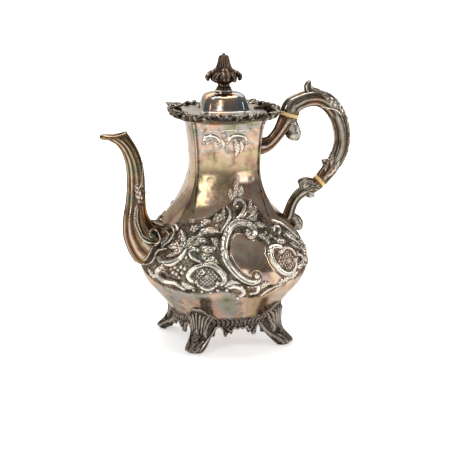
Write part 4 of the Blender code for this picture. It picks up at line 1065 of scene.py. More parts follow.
GRIP_POINTS = (joint_end(UPPER_JOINT, UPPER_FACING, UPPER_HALF, 1),
               (68.6, 226.8, 8.8, 7.3), (77.0, 231.2, 8.0, 6.9), (85.6, 233.6, 7.8, 6.8),
               (94.6, 233.4, 7.8, 6.8), (103.0, 229.6, 7.8, 6.8), (110.2, 222.6, 7.8, 6.8),
               (115.6, 213.2, 7.8, 6.7), (118.8, 202.4, 7.7, 6.7), (119.6, 191.2, 7.5, 6.6),
               (117.8, 180.8, 7.3, 6.5),
               (113.6, 171.2, 7.1, 6.4), (107.6, 162.6, 7.0, 6.4),
               joint_end(LOWER_JOINT, LOWER_FACING, LOWER_HALF, 1))
grip_route = tube_route(GRIP_POINTS, facing(UPPER_FACING), -facing(LOWER_FACING))
grip_form = tube_form(grip_route)
grip_length = float(grip_form[0][-1])
grip_side = ChasedSheet(grip_form, 0.0, grip_length, 90.0, 48, 260)
reed(grip_side, 8, 1.0, 1.0, 62.0)
reed(grip_side, 5, 1.1, 58.0, grip_length - 22.0, 0.35)
reed(grip_side, 6, 0.8, grip_length - 20.0, grip_length)
for leaf in (((60, 30), (58, 44), (46, 56), (30, 64)), ((84, 40), (72, 54), (60, 68)),
             ((84, 58), (66, 72), (52, 84)), ((88, 74), (66, 88), (58, 98)), ((86, 92), (72, 103), (66, 112)),
             ((38, 36), (26, 46), (20, 56))):
    grip_side.leaf(leaf, 3.0, 1.2, 4)
for leaf in (((-70, grip_length - 30), (-50, grip_length - 22), (-20, grip_length - 16)),
             ((-84, grip_length - 22), (-62, grip_length - 14), (-34, grip_length - 9)),
             ((10, grip_length - 6), (20, grip_length - 16), (6, grip_length - 26))):
    grip_side.leaf(leaf, 2.6, 1.1, 4)
grip_side.rib(((-60, 40), (-30, 48), (0, 54), (20, 62)), 1.0, 1.0)
grip = cast_tube("grip_casting", grip_route, grip_side, handle_silver)
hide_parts("handle_grip")


def limb(name, node, points, end, angle, columns, reeds, lift, bare, depth):
    """A reeded limb that lands on the body over a depth and ends at a joint, its last `bare` mm plain."""
    route = tube_route((*points, end), None, facing(angle))
    form = tube_form(route)
    length = float(form[0][-1])
    side = ChasedSheet(form, 0.0, length, 90.0, columns, 110)
    reed(side, reeds, lift, 0.0, length - bare)
    casting = cast_tube(name, route, side, handle_silver, land_on_body(depth, 0.3))
    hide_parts(node)


limb("upper_limb", "upper_socket", ((35.4, 187.6, 9.6, 7.8), (41.6, 189.4, 7.6, 6.2), (47.0, 192.2, 6.4, 5.7),
                                    (52.0, 197.2, 6.0, 5.5), (56.6, 203.2, 6.4, 5.8), (60.8, 209.8, 7.8, 6.6)),
     joint_end(UPPER_JOINT, UPPER_FACING, UPPER_HALF, -1), UPPER_FACING, 44, 7, 1.2, 1.0, 6.0)
limb("lower_limb", "lower_socket", ((64.6, 113.0, 6.4, 6.0), (67.2, 123.4, 5.2, 5.0), (70.6, 131.6, 4.9, 4.7),
                                    (75.8, 138.2, 5.0, 4.8), (82.4, 142.4, 5.6, 5.3), (89.4, 145.2, 6.3, 6.0)),
     joint_end(LOWER_JOINT, LOWER_FACING, LOWER_HALF, -1), LOWER_FACING, 40, 6, 1.0, 9.0, 5.0)
print("grip", round(grip_length, 1), "mm along")

# %% [markdown]
# Curls, volutes and leaf tips stand free of the castings. Each is a sweep: a closed grid wrapped along
# a line in space, with a width and a depth that change along it. Notched widths make a lobed leaf.

# %% Sweeps
ACROSS, UP = (0.0, 1.0, 0.0), (0.0, 0.0, 1.0)


def sweep(name, spine, wide, deep, material, slot, facing_way=ACROSS, sides=14, rows=72,
          lobes=0, notch=0.3, vein=0.0, worn=0.6):
    """A tapered rod or leaf along a spine in space. wide and deep are half-sizes at equal shares of it.

    facing_way is the side that the front looks to. lobes notches the edges, vein cuts a groove down the
    middle and worn is how far the high parts are rubbed. Only the tarnished finial rides on the lid.
    """
    line = smooth_line(spine, 8)
    run = np.gradient(line, axis=0)
    run /= np.linalg.norm(run, axis=1)[:, None]
    side = np.cross(run, np.array(facing_way, float))
    side /= np.maximum(np.linalg.norm(side, axis=1), 1e-6)[:, None]
    front = np.cross(side, run)
    walked = walk(line)
    walked /= walked[-1]

    def sizes(v):
        spots = np.linspace(0.0, 1.0, len(wide))
        width, depth = np.interp(v, spots, wide), np.interp(v, np.linspace(0.0, 1.0, len(deep)), deep)
        if lobes:
            width = width * (1.0 - notch + notch * np.abs(np.sin(HALF_TURN * lobes * v)))
        close = np.sqrt(np.clip(1.0 - (2.0 * v - 1.0)**14, 0.0, 1.0))
        return width * close, depth * close

    def place(u, v):
        width, depth = sizes(v)
        turned = FULL_TURN * u
        out_side, out_front = width * np.cos(turned), depth * np.sin(turned)
        out_front = out_front * (1.0 - vein * np.exp(-(np.cos(turned) / 0.3)**2))
        point = [np.interp(v, walked, line[:, i]) + out_side * np.interp(v, walked, side[:, i])
                 + out_front * np.interp(v, walked, front[:, i]) for i in range(3)]
        return point

    def recess(u, v):
        edge = np.abs(np.cos(FULL_TURN * u))
        middle = np.exp(-(edge / 0.22)**2) * (1.0 if vein else 0.0)
        gaps = (1.0 - np.abs(np.sin(HALF_TURN * lobes * v)))**2 if lobes else 0.0 * v
        return np.clip(0.12 + 0.75 * middle + 0.6 * gaps, 0.0, 1.0)

    def crest(u, v):
        edge = np.abs(np.cos(FULL_TURN * u))
        return worn * (ease(edge, 0.25, 0.6) * ease(-edge, -0.95, -0.7) if vein else ease(-edge, -0.9, -0.2))

    piece = wrap_grid(name, sides, rows, place, material, True, {"recess": recess, "crest": crest})
    return ride_pot(piece, "lid" if slot == "tarnished" else "pot")


def spiral(centre, start_angle, turns, start_radius, end_radius, steps=14):
    """Points of a flat spiral in the upright plane, winding in from a start radius."""
    shares = np.linspace(0.0, 1.0, steps + 1)
    angle = math.radians(start_angle) + turns * FULL_TURN * shares
    radius = start_radius + (end_radius - start_radius) * shares
    return [(centre[0] + r * math.cos(a), centre[1] + r * math.sin(a)) for a, r in zip(angle, radius)]


def curl(name, points, sizes, material, slot, width_scale=1.0, groove=0.25):
    """A curled limb in the upright plane: half-depths along it, and a width across the pot."""
    return sweep(name, [(x, 0.0, z) for x, z in points], sizes, [s * width_scale for s in sizes], material,
                 slot, ACROSS, 36, 90, vein=groove)


def skin_of(pieces):
    """A search tree over the outsides of some pieces, to lay lines on."""
    corners, faces = [], []
    for piece in pieces:
        start = len(corners)
        corners.extend(piece.matrix_world @ vertex.co for vertex in piece.data.vertices)
        faces.extend([start + index for index in polygon.vertices] for polygon in piece.data.polygons)
    return BVHTree.FromPolygons(corners, faces)


def lay_line(name, points, skin, sizes, material, slot, proud=0.2, rows=96):
    """A raised line on both flanks: points in the upright plane are dropped sideways on to the skin."""
    for hand, side in ((-1, "near"), (1, "far")):
        laid = []
        for x, z in smooth_line(points, 4):
            spot, _, _, _ = skin.ray_cast(Vector(((x + AXIS) * MM, hand * 0.3, z * MM)),
                                          Vector((0.0, -hand, 0.0)))
            if spot is not None:
                laid.append((x, spot.y / MM + hand * proud, z))
        if len(laid) > 3:
            sweep(f"{name}_{side}", laid, sizes, [size * 0.9 for size in sizes], material, slot,
                  ACROSS, 12, rows, worn=0.9)


print("sweep, spiral, curl and lay_line are ready")

# %% [markdown]
# The handle's curls are solid blobs, as cast, and each volute's winding is a fine line laid on both
# flanks. A ring bent round a hole would look hollow, which the real volutes are not.

# %% Curls of the handle
bpy.context.view_layer.update()
curl("thumb_leaf", ((99.0, 234.4), (91.6, 237.0), (86.6, 240.6), (84.6, 244.8), (85.6, 248.2), (87.6, 248.6)),
     (2.6, 6.4, 6.4, 5.0, 4.2, 2.8), handle_silver, "handle", 0.95)
curl("inner_leaf", ((111.0, 156.0), (108.0, 162.6), (105.4, 167.2), (102.2, 169.6), (99.8, 168.8)),
     (3.6, 6.0, 5.4, 4.2, 3.0), handle_silver, "handle", 0.95)
volute = curl("upper_volute", ((64.6, 214.4), (67.4, 208.6), (69.4, 203.0), (69.8, 198.0), (69.0, 193.4)),
              (6.4, 6.6, 7.0, 7.9, 6.4), handle_silver, "cast", 0.85, 0.0)
knuckle = curl("lower_knuckle", ((92.0, 146.4), (87.0, 148.4), (82.0, 148.4), (77.6, 146.8)),
               (4.6, 6.4, 7.2, 6.0), cast_silver, "cast", 0.95, 0.0)
knob = curl("lower_knob", ((85.0, 142.0), (87.4, 139.0), (88.2, 135.6)), (4.0, 4.8, 4.0), cast_silver, "cast",
            1.0, 0.0)
tail = curl("lower_tail", ((66.0, 119.6), (70.2, 116.0), (73.6, 112.2), (75.0, 107.6), (74.2, 103.6)),
            (3.4, 4.6, 5.8, 6.2, 5.0), cast_silver, "cast", 0.85, 0.0)
for name, piece, centre, start, turns, reach, lead in (
        ("upper_eye", volute, (69.6, 197.4), 80, -1.6, 6.4, ((62.0, 212.0), (70.6, 209.0), (74.6, 203.8))),
        ("knuckle_eye", knuckle, (80.2, 148.0), 60, 1.4, 5.4, ((90.0, 150.6), (86.0, 153.0))),
        ("knob_eye", knob, (87.8, 137.2), 100, -1.2, 3.4, ((84.4, 141.0),)),
        ("tail_eye", tail, (74.6, 107.6), 70, -1.5, 4.8, ((69.4, 119.8), (74.4, 115.4)))):
    lay_line(name, list(lead) + spiral(centre, start, turns, reach, 0.7), skin_of([piece]),
             (0.6, 0.95, 0.95, 0.8, 0.7), cast_silver, "cast", 0.1)

for side, hand in (("near", -1), ("far", 1)):
    for index, (x, z, lean) in enumerate(((88.0, 147.6, 3.4), (91.6, 144.6, 2.6), (85.4, 145.2, -2.0))):
        spine = ((x + 4.4, hand * 4.6, z - 1.0), (x + 1.6, hand * 6.4, z + 0.8),
                 (x - 2.0, hand * 7.0, z + lean * 0.6), (x - 4.8, hand * 6.2, z + lean))
        sweep(f"knuckle_leaf_{index + 1}_{side}", spine, (1.4, 2.6, 2.2, 1.0), (1.0, 1.6, 1.3, 0.8),
              cast_silver, "cast", ACROSS, 20, 48, 3, 0.35, 0.4)

# %% [markdown]
# The spout's collar is a cast leaf that spreads on the belly. It is drawn as lines: a volute, the lines
# inside it and a lobed edge. Each line is a list of places in the upright plane through the pot, and is
# dropped sideways until it meets the spout or the belly, so that it lies close on either.

# %% The spout's collar and lip
flank = skin_of([spout, bpy.data.objects["belly_front"], bpy.data.objects["belly_back"]])
SCROLL = ((-82.3, 143.0), (-87.5, 138.2), (-89.9, 131.8), (-90.3, 122.3), (-87.3, 112.6), (-83.3, 105.9),
          (-77.1, 102.2), (-71.5, 102.6), (-68.1, 107.0), (-68.5, 111.6), (-72.2, 114.0), (-76.3, 111.4),
          (-75.9, 107.6), (-72.8, 107.0))
lay_line("spout_scroll", SCROLL, flank, (0.6, 1.1, 1.3, 1.4, 1.5, 1.5, 1.4, 1.1, 1.4),
         spout_silver, "spout", 0.3, 150)
lay_line("spout_scroll_inner",
         [(x + (2.6 if z > 106 else 0.8), z + (0.0 if z > 112 else 2.4)) for x, z in SCROLL[1:7]], flank,
         (0.5, 0.8, 0.9, 0.8, 0.5), spout_silver, "spout", 0.2)
lay_line("collar_top", ((-74.5, 121.6), (-68.9, 117.6), (-63.0, 117.0), (-59.8, 118.8), (-57.5, 117.6),
                        (-58.5, 113.6), (-62.5, 107.6), (-66.5, 103.6), (-69.3, 99.6)), flank,
         (0.7, 1.4, 1.7, 1.9, 2.0, 1.8, 1.7, 1.5, 1.2),
         cast_silver, "spout", 0.3)
lay_line("collar_inner", ((-69.3, 114.6), (-64.3, 114.6), (-61.7, 113.0), (-63.7, 109.0), (-67.3, 105.2)),
         flank, (0.6, 1.0, 1.1, 1.0, 0.7), cast_silver, "spout", 0.3)
lay_line("collar_lobe", ((-64.7, 101.4), (-69.7, 98.8), (-72.9, 94.8), (-74.8, 89.3), (-78.2, 82.9),
                         (-81.5, 79.6), (-84.3, 80.4)), flank,
         (1.2, 1.6, 1.6, 1.5, 1.4, 1.2, 0.8), cast_silver, "spout", 0.3)
lay_line("collar_lobe_inner", ((-70.9, 101.6), (-74.7, 97.6), (-77.1, 92.4), (-79.7, 87.0), (-83.3, 84.4)),
         flank, (0.6, 1.1, 1.2, 1.0, 0.6), spout_silver, "spout", 0.3)
lay_line("spout_reed_end", ((-80.5, 190.0), (-81.3, 178.0), (-81.1, 168.0), (-82.5, 159.6), (-85.5, 153.8),
                            (-89.5, 151.0)), flank, (0.4, 0.8, 0.9, 1.0, 0.9, 0.5), spout_silver, "spout", 0.2)

# the mouth's edge is rolled: thick at the lip, thin at the back
roll = [(-106.6 + 11.6 * math.cos(t), 5.6 * math.sin(t), 205.4 + 1.8 * math.cos(t) - 1.6 * math.sin(t)**2)
        for t in np.linspace(0.0, FULL_TURN, 25)]
sweep("spout_lip", roll, (1.3, 0.9, 1.6, 2.6, 2.9, 2.6, 1.6, 0.9, 1.3),
      (1.3, 0.9, 1.4, 2.2, 2.5, 2.2, 1.4, 0.9, 1.3), spout_silver, "spout", UP, 20, 160)

# %% [markdown]
# Two ivory discs keep the heat of the limbs from the grip. They are oval, a little crowned, with
# rounded edges, and the ivory is yellowed: fine streaks over soft clouds of straw and brown.

# %% Ivory discs
ivory = bpy.data.materials.new("aged_ivory")
ivory.use_nodes = True
ivory_tree = ivory.node_tree
ivory_shader = ivory_tree.nodes["Principled BSDF"]
ivory_coords = add_node(ivory_tree, "TexCoord").outputs["Object"]
ivory_grain = noise(ivory_tree, ivory_coords, 260.0, 6.0, 1.2)
ivory_cloud = noise(ivory_tree, ivory_coords, 60.0, 2.0)
ivory_mix = sum_up(ivory_tree, "MULTIPLY", sum_up(ivory_tree, "ADD", ivory_grain, ivory_cloud), 0.6)
ivory_colour = ramp(ivory_tree, ivory_mix, ((0.2, (0.42, 0.20, 0.05)), (0.5, (0.80, 0.52, 0.20)),
                                            (0.8, (0.90, 0.68, 0.36))))
ivory_tree.links.new(ivory_colour, ivory_shader.inputs["Base Color"])
ivory_shader.inputs["Roughness"].default_value = 0.28
ivory_shader.inputs["Subsurface Weight"].default_value = 0.15
ivory_shader.inputs["Subsurface Scale"].default_value = 0.003


DISC_PROUD = 0.25


def ivory_disc(name, node, joint, angle, grip_half):
    """An oval disc at a joint, a little larger than the grip's end. rows are along it and share of size."""
    forward = facing(angle)
    across = np.array((-forward[1], forward[0]))
    halves = [half + DISC_PROUD for half in grip_half]
    rows = np.array(((-DISC_HALF, 0.0), (-DISC_HALF, 0.7), (-1.75, 0.94), (-1.3, 1.0), (0.0, 1.02), (1.3, 1.0),
                     (1.75, 0.94), (DISC_HALF, 0.7), (DISC_HALF, 0.0)))

    def place(u, v):
        spots = np.linspace(0.0, 1.0, len(rows))
        along, share = np.interp(v, spots, rows[:, 0]), np.interp(v, spots, rows[:, 1])
        turned = FULL_TURN * u
        deep, wide = halves[0] * share * np.cos(turned), halves[1] * share * np.sin(turned)
        centre = np.array(joint)[:, None] + forward[:, None] * along + across[:, None] * deep
        return centre[0], wide, centre[1]

    piece = wrap_grid(name, 64, 32, place, ivory)
    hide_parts(node)
    ride_pot(piece, "pot")
    print(name, [round(1000 * v, 1) for v in piece.dimensions])


ivory_disc("upper_disc", "upper_insulator", UPPER_JOINT, UPPER_FACING, UPPER_HALF)
ivory_disc("lower_disc", "lower_insulator", LOWER_JOINT, LOWER_FACING, LOWER_HALF)

# %% [markdown]
# Each foot is a quarter of the cast apron with its leg in the middle. The lower edge runs in scallops
# and pendants, the top in leafy teeth, and the leg swells into an acanthus knee over a rolled toe. Its
# face is chased like the belly, on a map that is simply the angle from the leg and the height.

# %% Chasing a foot
FOOT_TWIST = math.radians(5.5)
FOOT_HALF = 44.9
APRON_EDGE = np.array(((0.0, 0.0), (6.4, 0.0), (8.6, 3.0), (10.2, 8.0), (11.2, 11.5), (12.6, 12.6),
                       (14.0, 12.0), (15.0, 13.4), (15.4, 16.5), (17.0, 19.6), (20.0, 21.4),
                       (23.0, 20.0), (24.6, 16.8),
                       (25.2, 13.2), (27.0, 11.6), (29.0, 12.2), (30.2, 15.0), (32.0, 16.4), (33.6, 14.6),
                       (35.2, 15.4), (36.8, 18.8), (39.4, 19.8), (42.0, 18.4), (45.0, 20.4)))
LEG_OUTLINE = np.array(((0.0, 68.6), (1.6, 70.9), (3.4, 71.6), (6.0, 70.2), (10.0, 65.8), (15.0, 61.8),
                        (21.0, 59.8), (28.0, 59.8), (34.0, 60.6), (38.0, 61.0), (42.0, 62.6)))
foot_heights = np.linspace(-1.0, 45.0, 400)
FOOT_FORM = (foot_heights, np.full(400, 58.0), foot_heights / 58.0, foot_heights)
foot_face = ChasedSheet(FOOT_FORM, 0.0, 44.0, FOOT_HALF, 260, 120)


def both_sides(points):
    return points, [(-a, h) for a, h in points]


for rim_line in both_sides(((6.4, 3), (9, 9), (12, 13.6), (14.6, 18), (18, 22.2), (21.4, 22.6), (24.8, 19.4),
                            (26, 15), (28, 13.4), (29.2, 15.6), (27.6, 17))):
    foot_face.rib(rim_line, 1.5, 1.5, (0.7, 1.0, 0.8), 0.0, (0.0, 1.4))
for rim_line in both_sides(((45, 22), (41, 20.2), (38, 22), (35, 18.4), (32.6, 18.6), (30.6, 20.6), (32, 23))):
    foot_face.rib(rim_line, 1.2, 1.3, (0.8, 1.0, 0.7), 0.0, (0.0, 1.3))
for tooth in (14, 19, 24, 29, 34, 39, 43.5):
    crown = 30.6 + 5.0 * math.exp(-(tooth / 14)**2)
    for tip in both_sides(((tooth, 23.6), (tooth + 1.4, 27), (tooth - 0.6, crown))):
        foot_face.leaf(tip, 2.0, 1.2, 2)
for low, high in ((0.0, 0.0), (2.4, 3.2), (4.8, 6.4), (7.2, 9.8), (9.6, 14.4)):
    for strand in both_sides(((low * 0.9, 17), (low, 25), (high, 33), (high * 1.2, 38 - high * 0.45))):
        foot_face.rib(strand, 1.0, 1.1, (0.6, 1.0, 0.9))
foot_face.leaf(((0, 6), (0, 12), (0, 19), (0, 24)), 4.4, 1.6, 3)
foot_face.flower(0, 14.5, 3.2, 1.6, 6, 0.3)
for curl_line in both_sides(((6.6, 11), (4.4, 8), (5.0, 4.6), (2.4, 2.8), (0.8, 4.4))):
    foot_face.rib(curl_line, 1.2, 1.3, (1.0, 1.0, 0.7))
for line in both_sides(((8.6, 14), (7.4, 19), (9.4, 24), (8.0, 27))):
    foot_face.rib(line, 1.1, 1.2)
foot_face.crest *= 0.55
foot_face.recess = np.clip(foot_face.recess + 0.6 * (foot_face.relief < 0.4), 0.0, 1.0)
print("foot relief up to", round(float(foot_face.relief.max()), 2), "mm")

# %% [markdown]
# The four castings are alike, but each hugs the bowl at its own place, so each is wrapped anew. The
# skin runs down the outside, under the scalloped edge and up behind. A rolled toe closes each leg.

# %% Foot castings
def foot_cell(offset, height):
    """Row and column of the foot's raster at an angle from its leg, in degrees, and a height."""
    row = np.clip(np.searchsorted(foot_face.height, height), 0, foot_face.rows)
    column = np.rint((offset / FOOT_HALF + 1.0) / 2.0 * foot_face.columns).astype(int)
    return row, np.clip(column, 0, foot_face.columns)


def foot_radius(offset_degrees, height, leg_angle):
    """Outer and inner radius of a foot casting: it hugs the bowl at its top edge."""
    leg = np.exp(-((offset_degrees / 10.8) ** 4))
    clear = body_radius(leg_angle + np.radians(offset_degrees), np.maximum(height, 25.0)) + SKIN + 0.25
    apron = clear + 2.4
    outer = apron + (outline_at(LEG_OUTLINE, height, 1) - apron) * leg
    thickness = 2.4 + 3.4 * leg
    inner = np.maximum(outer - thickness, clear)
    return np.maximum(outer, inner + 1.6), inner


def foot_place(leg_angle):
    def place(u, v):
        offset = FOOT_HALF * (2.0 * v - 1.0)
        knee = np.exp(-((offset / 12.0) ** 2))
        top = 29.6 + 12.0 * knee + 2.4 * np.abs(np.sin(np.radians(offset) * 18.0))**0.7
        low = np.interp(np.abs(offset), APRON_EDGE[:, 0], APRON_EDGE[:, 1])
        outside = u < 0.5
        drop = np.clip(np.where(outside, 2.0 * u, 2.0 - 2.0 * u), 0.0, 1.0)
        height = top + (low - top) * drop
        outer, inner = foot_radius(offset, height, leg_angle)
        outer = inner + (outer - inner) * (0.3 + 0.7 * ease(top - height, 0.0, 7.0))
        edge = np.minimum(ease(drop, 0.0, 0.06), ease(-drop, -1.0, -0.94))
        raised = np.clip(foot_face.relief[foot_cell(offset, height)], -0.5, 2.0) * edge
        share = np.abs(2.0 * v - 1.0)
        radius = np.where(outside, outer - 0.9 * (1.0 - edge) + raised, inner)
        angle = leg_angle + np.radians(offset)
        radius = np.where(share >= 1.0, 0.5 * (outer + inner), radius)
        return radius * np.cos(angle), radius * np.sin(angle), height
    return place


def foot_field(layer, painted_edge):
    """Wear or dirt of a foot: the raster's outside, half behind, and its own value at the top edge, which is
    painted light over the shade line between foot and bowl.
    """
    def values(u, v):
        offset = FOOT_HALF * (2.0 * v - 1.0)
        _, _, height = foot_place(0.0)(u, v)
        edge = ease(-np.minimum(u, 1.0 - u), -0.045, -0.015)
        value = np.where(u < 0.5, layer[foot_cell(offset, height)], 0.5)
        return np.clip(value * (1.0 - edge) + painted_edge * edge, 0.0, 1.0)
    return values


TOE_REACH, TOE_SIZES = 67.6, (2.6, 3.5, 3.7, 3.5, 2.6)
for index in range(4):
    leg_angle = HALF_TURN / 4 + FOOT_TWIST + index * HALF_TURN / 2
    # at the feet's top edge the oxide is taken out and the crest set bright: painted light over the shade line
    # against the bowl
    foot = wrap_grid(f"foot_casting_{index + 1}", 180, 300, foot_place(leg_angle), foot_silver, True,
                     {"recess": foot_field(foot_face.recess, 0.0), "crest": foot_field(foot_face.crest, 0.45)})
    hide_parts(f"foot_{index + 1}")
    ride_pot(foot, "pot")
    across = np.array((-math.sin(leg_angle), math.cos(leg_angle)))
    toe = np.array((math.cos(leg_angle), math.sin(leg_angle))) * TOE_REACH
    sweep(f"foot_{index + 1}_toe", [(*(toe + across * reach), 3.7) for reach in (-6.6, -3.0, 0.0, 3.0, 6.6)],
          TOE_SIZES, TOE_SIZES, foot_silver, "cast", UP, 28, 40, worn=0.2)

# %% [markdown]
# The lip carries a cast border: a low ring that widens to a leaf at each corner, with scrolls, small
# shells and teeth between them. The ring is one closed skin; the leaves and scrolls are sweeps made
# for one quarter and turned to the other three.

# %% Rim ring
RIM_TWIST = math.radians(2.0)


def corner_reach(angle):
    return np.abs(np.cos((angle - RIM_TWIST + HALF_TURN / 4) * 2.0))**13


def border_edges(angle):
    """Inner and outer radius of the border and how far its edge is lifted."""
    inner = panel_radius(panel_offset(angle), 46.4, 53.8, math.radians(4.2))
    tip = corner_reach(angle)
    outer = np.maximum(50.6 + 8.6 * tip, inner + 3.0)
    return inner, outer, 2.2 * tip


def rim_place(u, v):
    """The ring's closed section: nine points round it, eased from one to the next."""
    angle = FULL_TURN * u
    inner, outer, lift = border_edges(angle)
    sway = angle * 36.0 + 2.2 * np.sin(angle * 8.0)
    teeth = 0.8 * np.cos(sway) + 0.6 * np.cos(angle * 20.0 + 1.0)
    outer = outer + teeth
    middle = 0.5 * (inner + outer)
    rows_r = (inner, inner + 0.9, middle, outer - 0.8, outer, outer - 1.0, middle, inner + 0.8, inner)
    rows_z = (221.4, 220.4, 220.4 + 0.5 * lift, 222.2 + 1.3 * lift, 223.6 + 1.3 * lift, 225.2 + lift,
              225.8 + 0.6 * lift, 225.6, 224.6)
    turns = (v * 9.0) % 9.0
    low = np.floor(turns).astype(int) % 9
    share = turns - np.floor(turns)
    share = share * share * (3.0 - 2.0 * share)
    radius = np.choose(low, rows_r) * (1.0 - share) + np.choose((low + 1) % 9, rows_r) * share
    heights = [np.broadcast_to(z, angle.shape) for z in rows_z]
    height = np.choose(low, heights) * (1.0 - share) + np.choose((low + 1) % 9, heights) * share
    top = ease(height, 222.4, 225.0) * ease(radius, inner + 0.4, inner + 1.6)
    height = height + 0.8 * top * np.cos(sway + (radius - inner) * 0.8)
    return radius * np.cos(angle), radius * np.sin(angle), height


def rim_hollow(u, v):
    angle = FULL_TURN * u
    return np.clip(0.3 + 0.7 * (0.5 - 0.5 * np.cos(angle * 36.0 + 2.2 * np.sin(angle * 8.0))), 0.0, 1.0)


rim = wrap_grid("rim_ring", 880, 45, rim_place, cast_silver, True,
                {"recess": rim_hollow, "crest": lambda u, v: 0.5 * ease(-rim_hollow(u, v), -0.5, -0.3)})
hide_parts("rim_border")
ride_pot(rim, "pot")
print("rim ring", [round(1000 * v, 1) for v in rim.dimensions])

# %% [markdown]
# Leaves, fronds and scrolls are placed by degrees from the corner, radius and height, for one side of a
# corner. A hand of -1 or 1 mirrors them, and a turn about the pot's axis carries them to each corner.

# %% Leaves and scrolls of the border
SMALL_LEAVES = ((13, 52.8, 225.0), (18, 52.6, 227.2), (23.5, 52.6, 225.4), (27.5, 52.8, 227.0),
                (32.0, 52.2, 224.6), (37.5, 53.0, 226.9), (42.0, 52.0, 224.8))


def turned_about(points, angle):
    """Points given as degrees, radius, height, turned about the pot's axis by an angle."""
    return [(r * math.cos(angle + math.radians(a)), r * math.sin(angle + math.radians(a)), z)
            for a, r, z in points]


def border_piece(name, corner, hand, points, wide, deep, sides, rows, *shape, **more):
    """A sweep of the border, mirrored by its hand and turned to its corner."""
    middle = RIM_TWIST + HALF_TURN / 4 + corner * HALF_TURN / 2
    spine = turned_about([(a * hand, r, z) for a, r, z in points], middle)
    sweep(f"rim_{corner + 1}_{name}", spine, wide, deep, cast_silver, "cast", UP, sides, rows, *shape, **more)


for corner in range(4):
    border_piece("leaf", corner, 1, ((0, 50.0, 224.4), (0, 54.5, 226.2), (0, 60.0, 227.4), (0, 66.0, 227.8)),
                 (2.2, 4.4, 4.4, 3.0, 0.7), (1.2, 1.5, 1.2, 0.6), 28, 72, 4, 0.35, 0.5)
    for side, hand in (("left", -1), ("right", 1)):
        border_piece(f"{side}_frond", corner, hand, ((4, 51.0, 225.2), (7, 53.8, 226.6), (7, 57.0, 227.2),
                     (4.6, 60.4, 226.8)), (1.2, 2.6, 2.2, 1.0), (0.9, 1.3, 0.8), 20, 48, 3, 0.35, 0.4)
        border_piece(f"{side}_scroll", corner, hand, ((9, 53.4, 225.8), (14, 52.4, 226.9), (21, 51.4, 226.6),
                     (28, 51.2, 226.2), (31, 52.6, 225.4), (28.6, 53.6, 224.8)), (1.2, 1.6, 1.3, 1.1, 1.2),
                     (1.0, 1.4, 1.0, 1.1), 16, 60, worn=0.8)
        for count, (spot, reach, rise) in enumerate(SMALL_LEAVES):
            border_piece(f"{side}_leaf_{count + 1}", corner, hand,
                         ((spot - 3.4, reach - 4.0, rise + 0.2), (spot - 1.0, reach - 1.2, rise + 1.0),
                          (spot + 1.6, reach + 0.8, rise + 0.4), (spot + 3.0, reach + 0.6, rise - 1.0)),
                         (0.8, 1.9, 1.7, 0.7), (0.7, 1.1, 0.7), 16, 36, 2, 0.3, 0.4)
        border_piece(f"{side}_tooth", corner, hand,
                     ((34, 49.6, 225.9), (37, 51.4, 226.8), (41.5, 52.2, 226.2)),
                     (0.8, 1.7, 1.2), (0.8, 1.1, 0.7), 16, 36, 2, 0.3, 0.4)
        border_piece(f"{side}_under", corner, hand, ((3, 57.0, 225.2), (10, 53.0, 223.2), (20, 51.8, 221.9),
                     (30, 51.4, 221.7), (43, 50.8, 221.6)), (0.7, 1.1, 1.2, 1.1, 0.9), (0.7, 1.0, 0.9),
                     14, 70, 9, 0.35)

# %% [markdown]
# The finial is a cast bud: a waisted foot, four leaves that curl outwards and down, and a fluted stem
# with a bead on top. The bud is one turned skin with flutes; the leaf tips are sweeps over it.

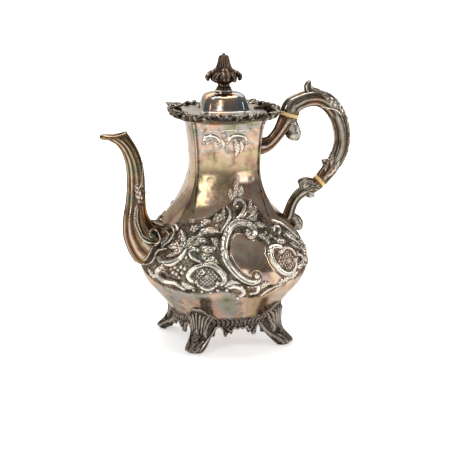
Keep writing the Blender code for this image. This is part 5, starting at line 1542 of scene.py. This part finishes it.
# %% Finial
FINIAL_OUTLINE = np.array((
    (245.1, 0.0, 0.0), (245.2, 6.4, 0.0), (245.9, 7.3, 0.0), (246.9, 6.9, 0.0), (248.6, 5.6, 0.2),
    (250.4, 5.6, 0.6), (251.8, 6.6, 2.0), (253.2, 9.2, 3.0), (255.6, 10.8, 3.0), (258.2, 11.4, 2.4),
    (260.8, 10.4, 2.0),
    (263.6, 8.4, 1.6), (266.6, 6.7, 1.2), (270.0, 5.6, 0.9), (273.6, 4.9, 0.7), (276.6, 4.4, 0.4),
    (277.8, 3.4, 0.1), (278.1, 1.6, 0.0), (278.8, 1.7, 0.0), (279.5, 1.4, 0.0), (280.0, 0.0, 0.0)))


def finial_flute(angle):
    """1 on each of the bud's sixteen ridges and 0 in the furrows between them."""
    return np.abs(np.cos(8.0 * (angle - NECK_TWIST)))


def finial_place(u, v):
    height, radius, leaf = along_outline(FINIAL_OUTLINE, v)
    angle = FULL_TURN * u
    quarter = np.abs(np.cos(2.0 * (angle - NECK_TWIST)))
    radius = radius + leaf * (quarter**2 - 0.35)
    fluted = ease(height, 251.0, 254.0) * ease(-height, -277.6, -275.0)
    radius = np.maximum(radius + 0.55 * (finial_flute(angle)**0.6 - 0.6) * fluted, 0.0)
    return radius * np.cos(angle), radius * np.sin(angle), height


def finial_furrow(u, v):
    return np.clip(0.25 + 0.75 * (1.0 - ease(finial_flute(FULL_TURN * u), 0.1, 0.55)), 0.0, 1.0)


def finial_ridge(u, v):
    return 0.3 * ease(finial_flute(FULL_TURN * u), 0.8, 1.0)


finial = wrap_grid("finial_casting", 192, 150, finial_place, brown_silver, True,
                   {"recess": finial_furrow, "crest": finial_ridge})
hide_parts("finial")
ride_pot(finial, "lid")
CURLED_TIP = ((6.6, 266.0), (9.4, 262.4), (12.8, 260.4), (15.2, 258.2), (15.4, 255.4), (13.6, 254.4))
for index in range(8):
    way = NECK_TWIST + index * HALF_TURN / 4
    reach, drop, size = (1.0, 0.0, 1.0) if index % 2 == 0 else (0.84, 1.2, 0.72)
    spine = turned_about([(0, radius * reach, height - drop) for radius, height in CURLED_TIP], way)
    sweep(f"finial_leaf_{index + 1}", spine, [size * s for s in (2.0, 4.4, 5.4, 4.8, 3.8, 2.2)],
          [size * s for s in (1.2, 2.2, 2.8, 2.8, 2.0)], brown_silver, "tarnished",
          (-math.cos(way), -math.sin(way), 1.0), 24, 60, 4, 0.3, 0.5, 0.4)

# %% Sizes and the last line
low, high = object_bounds()
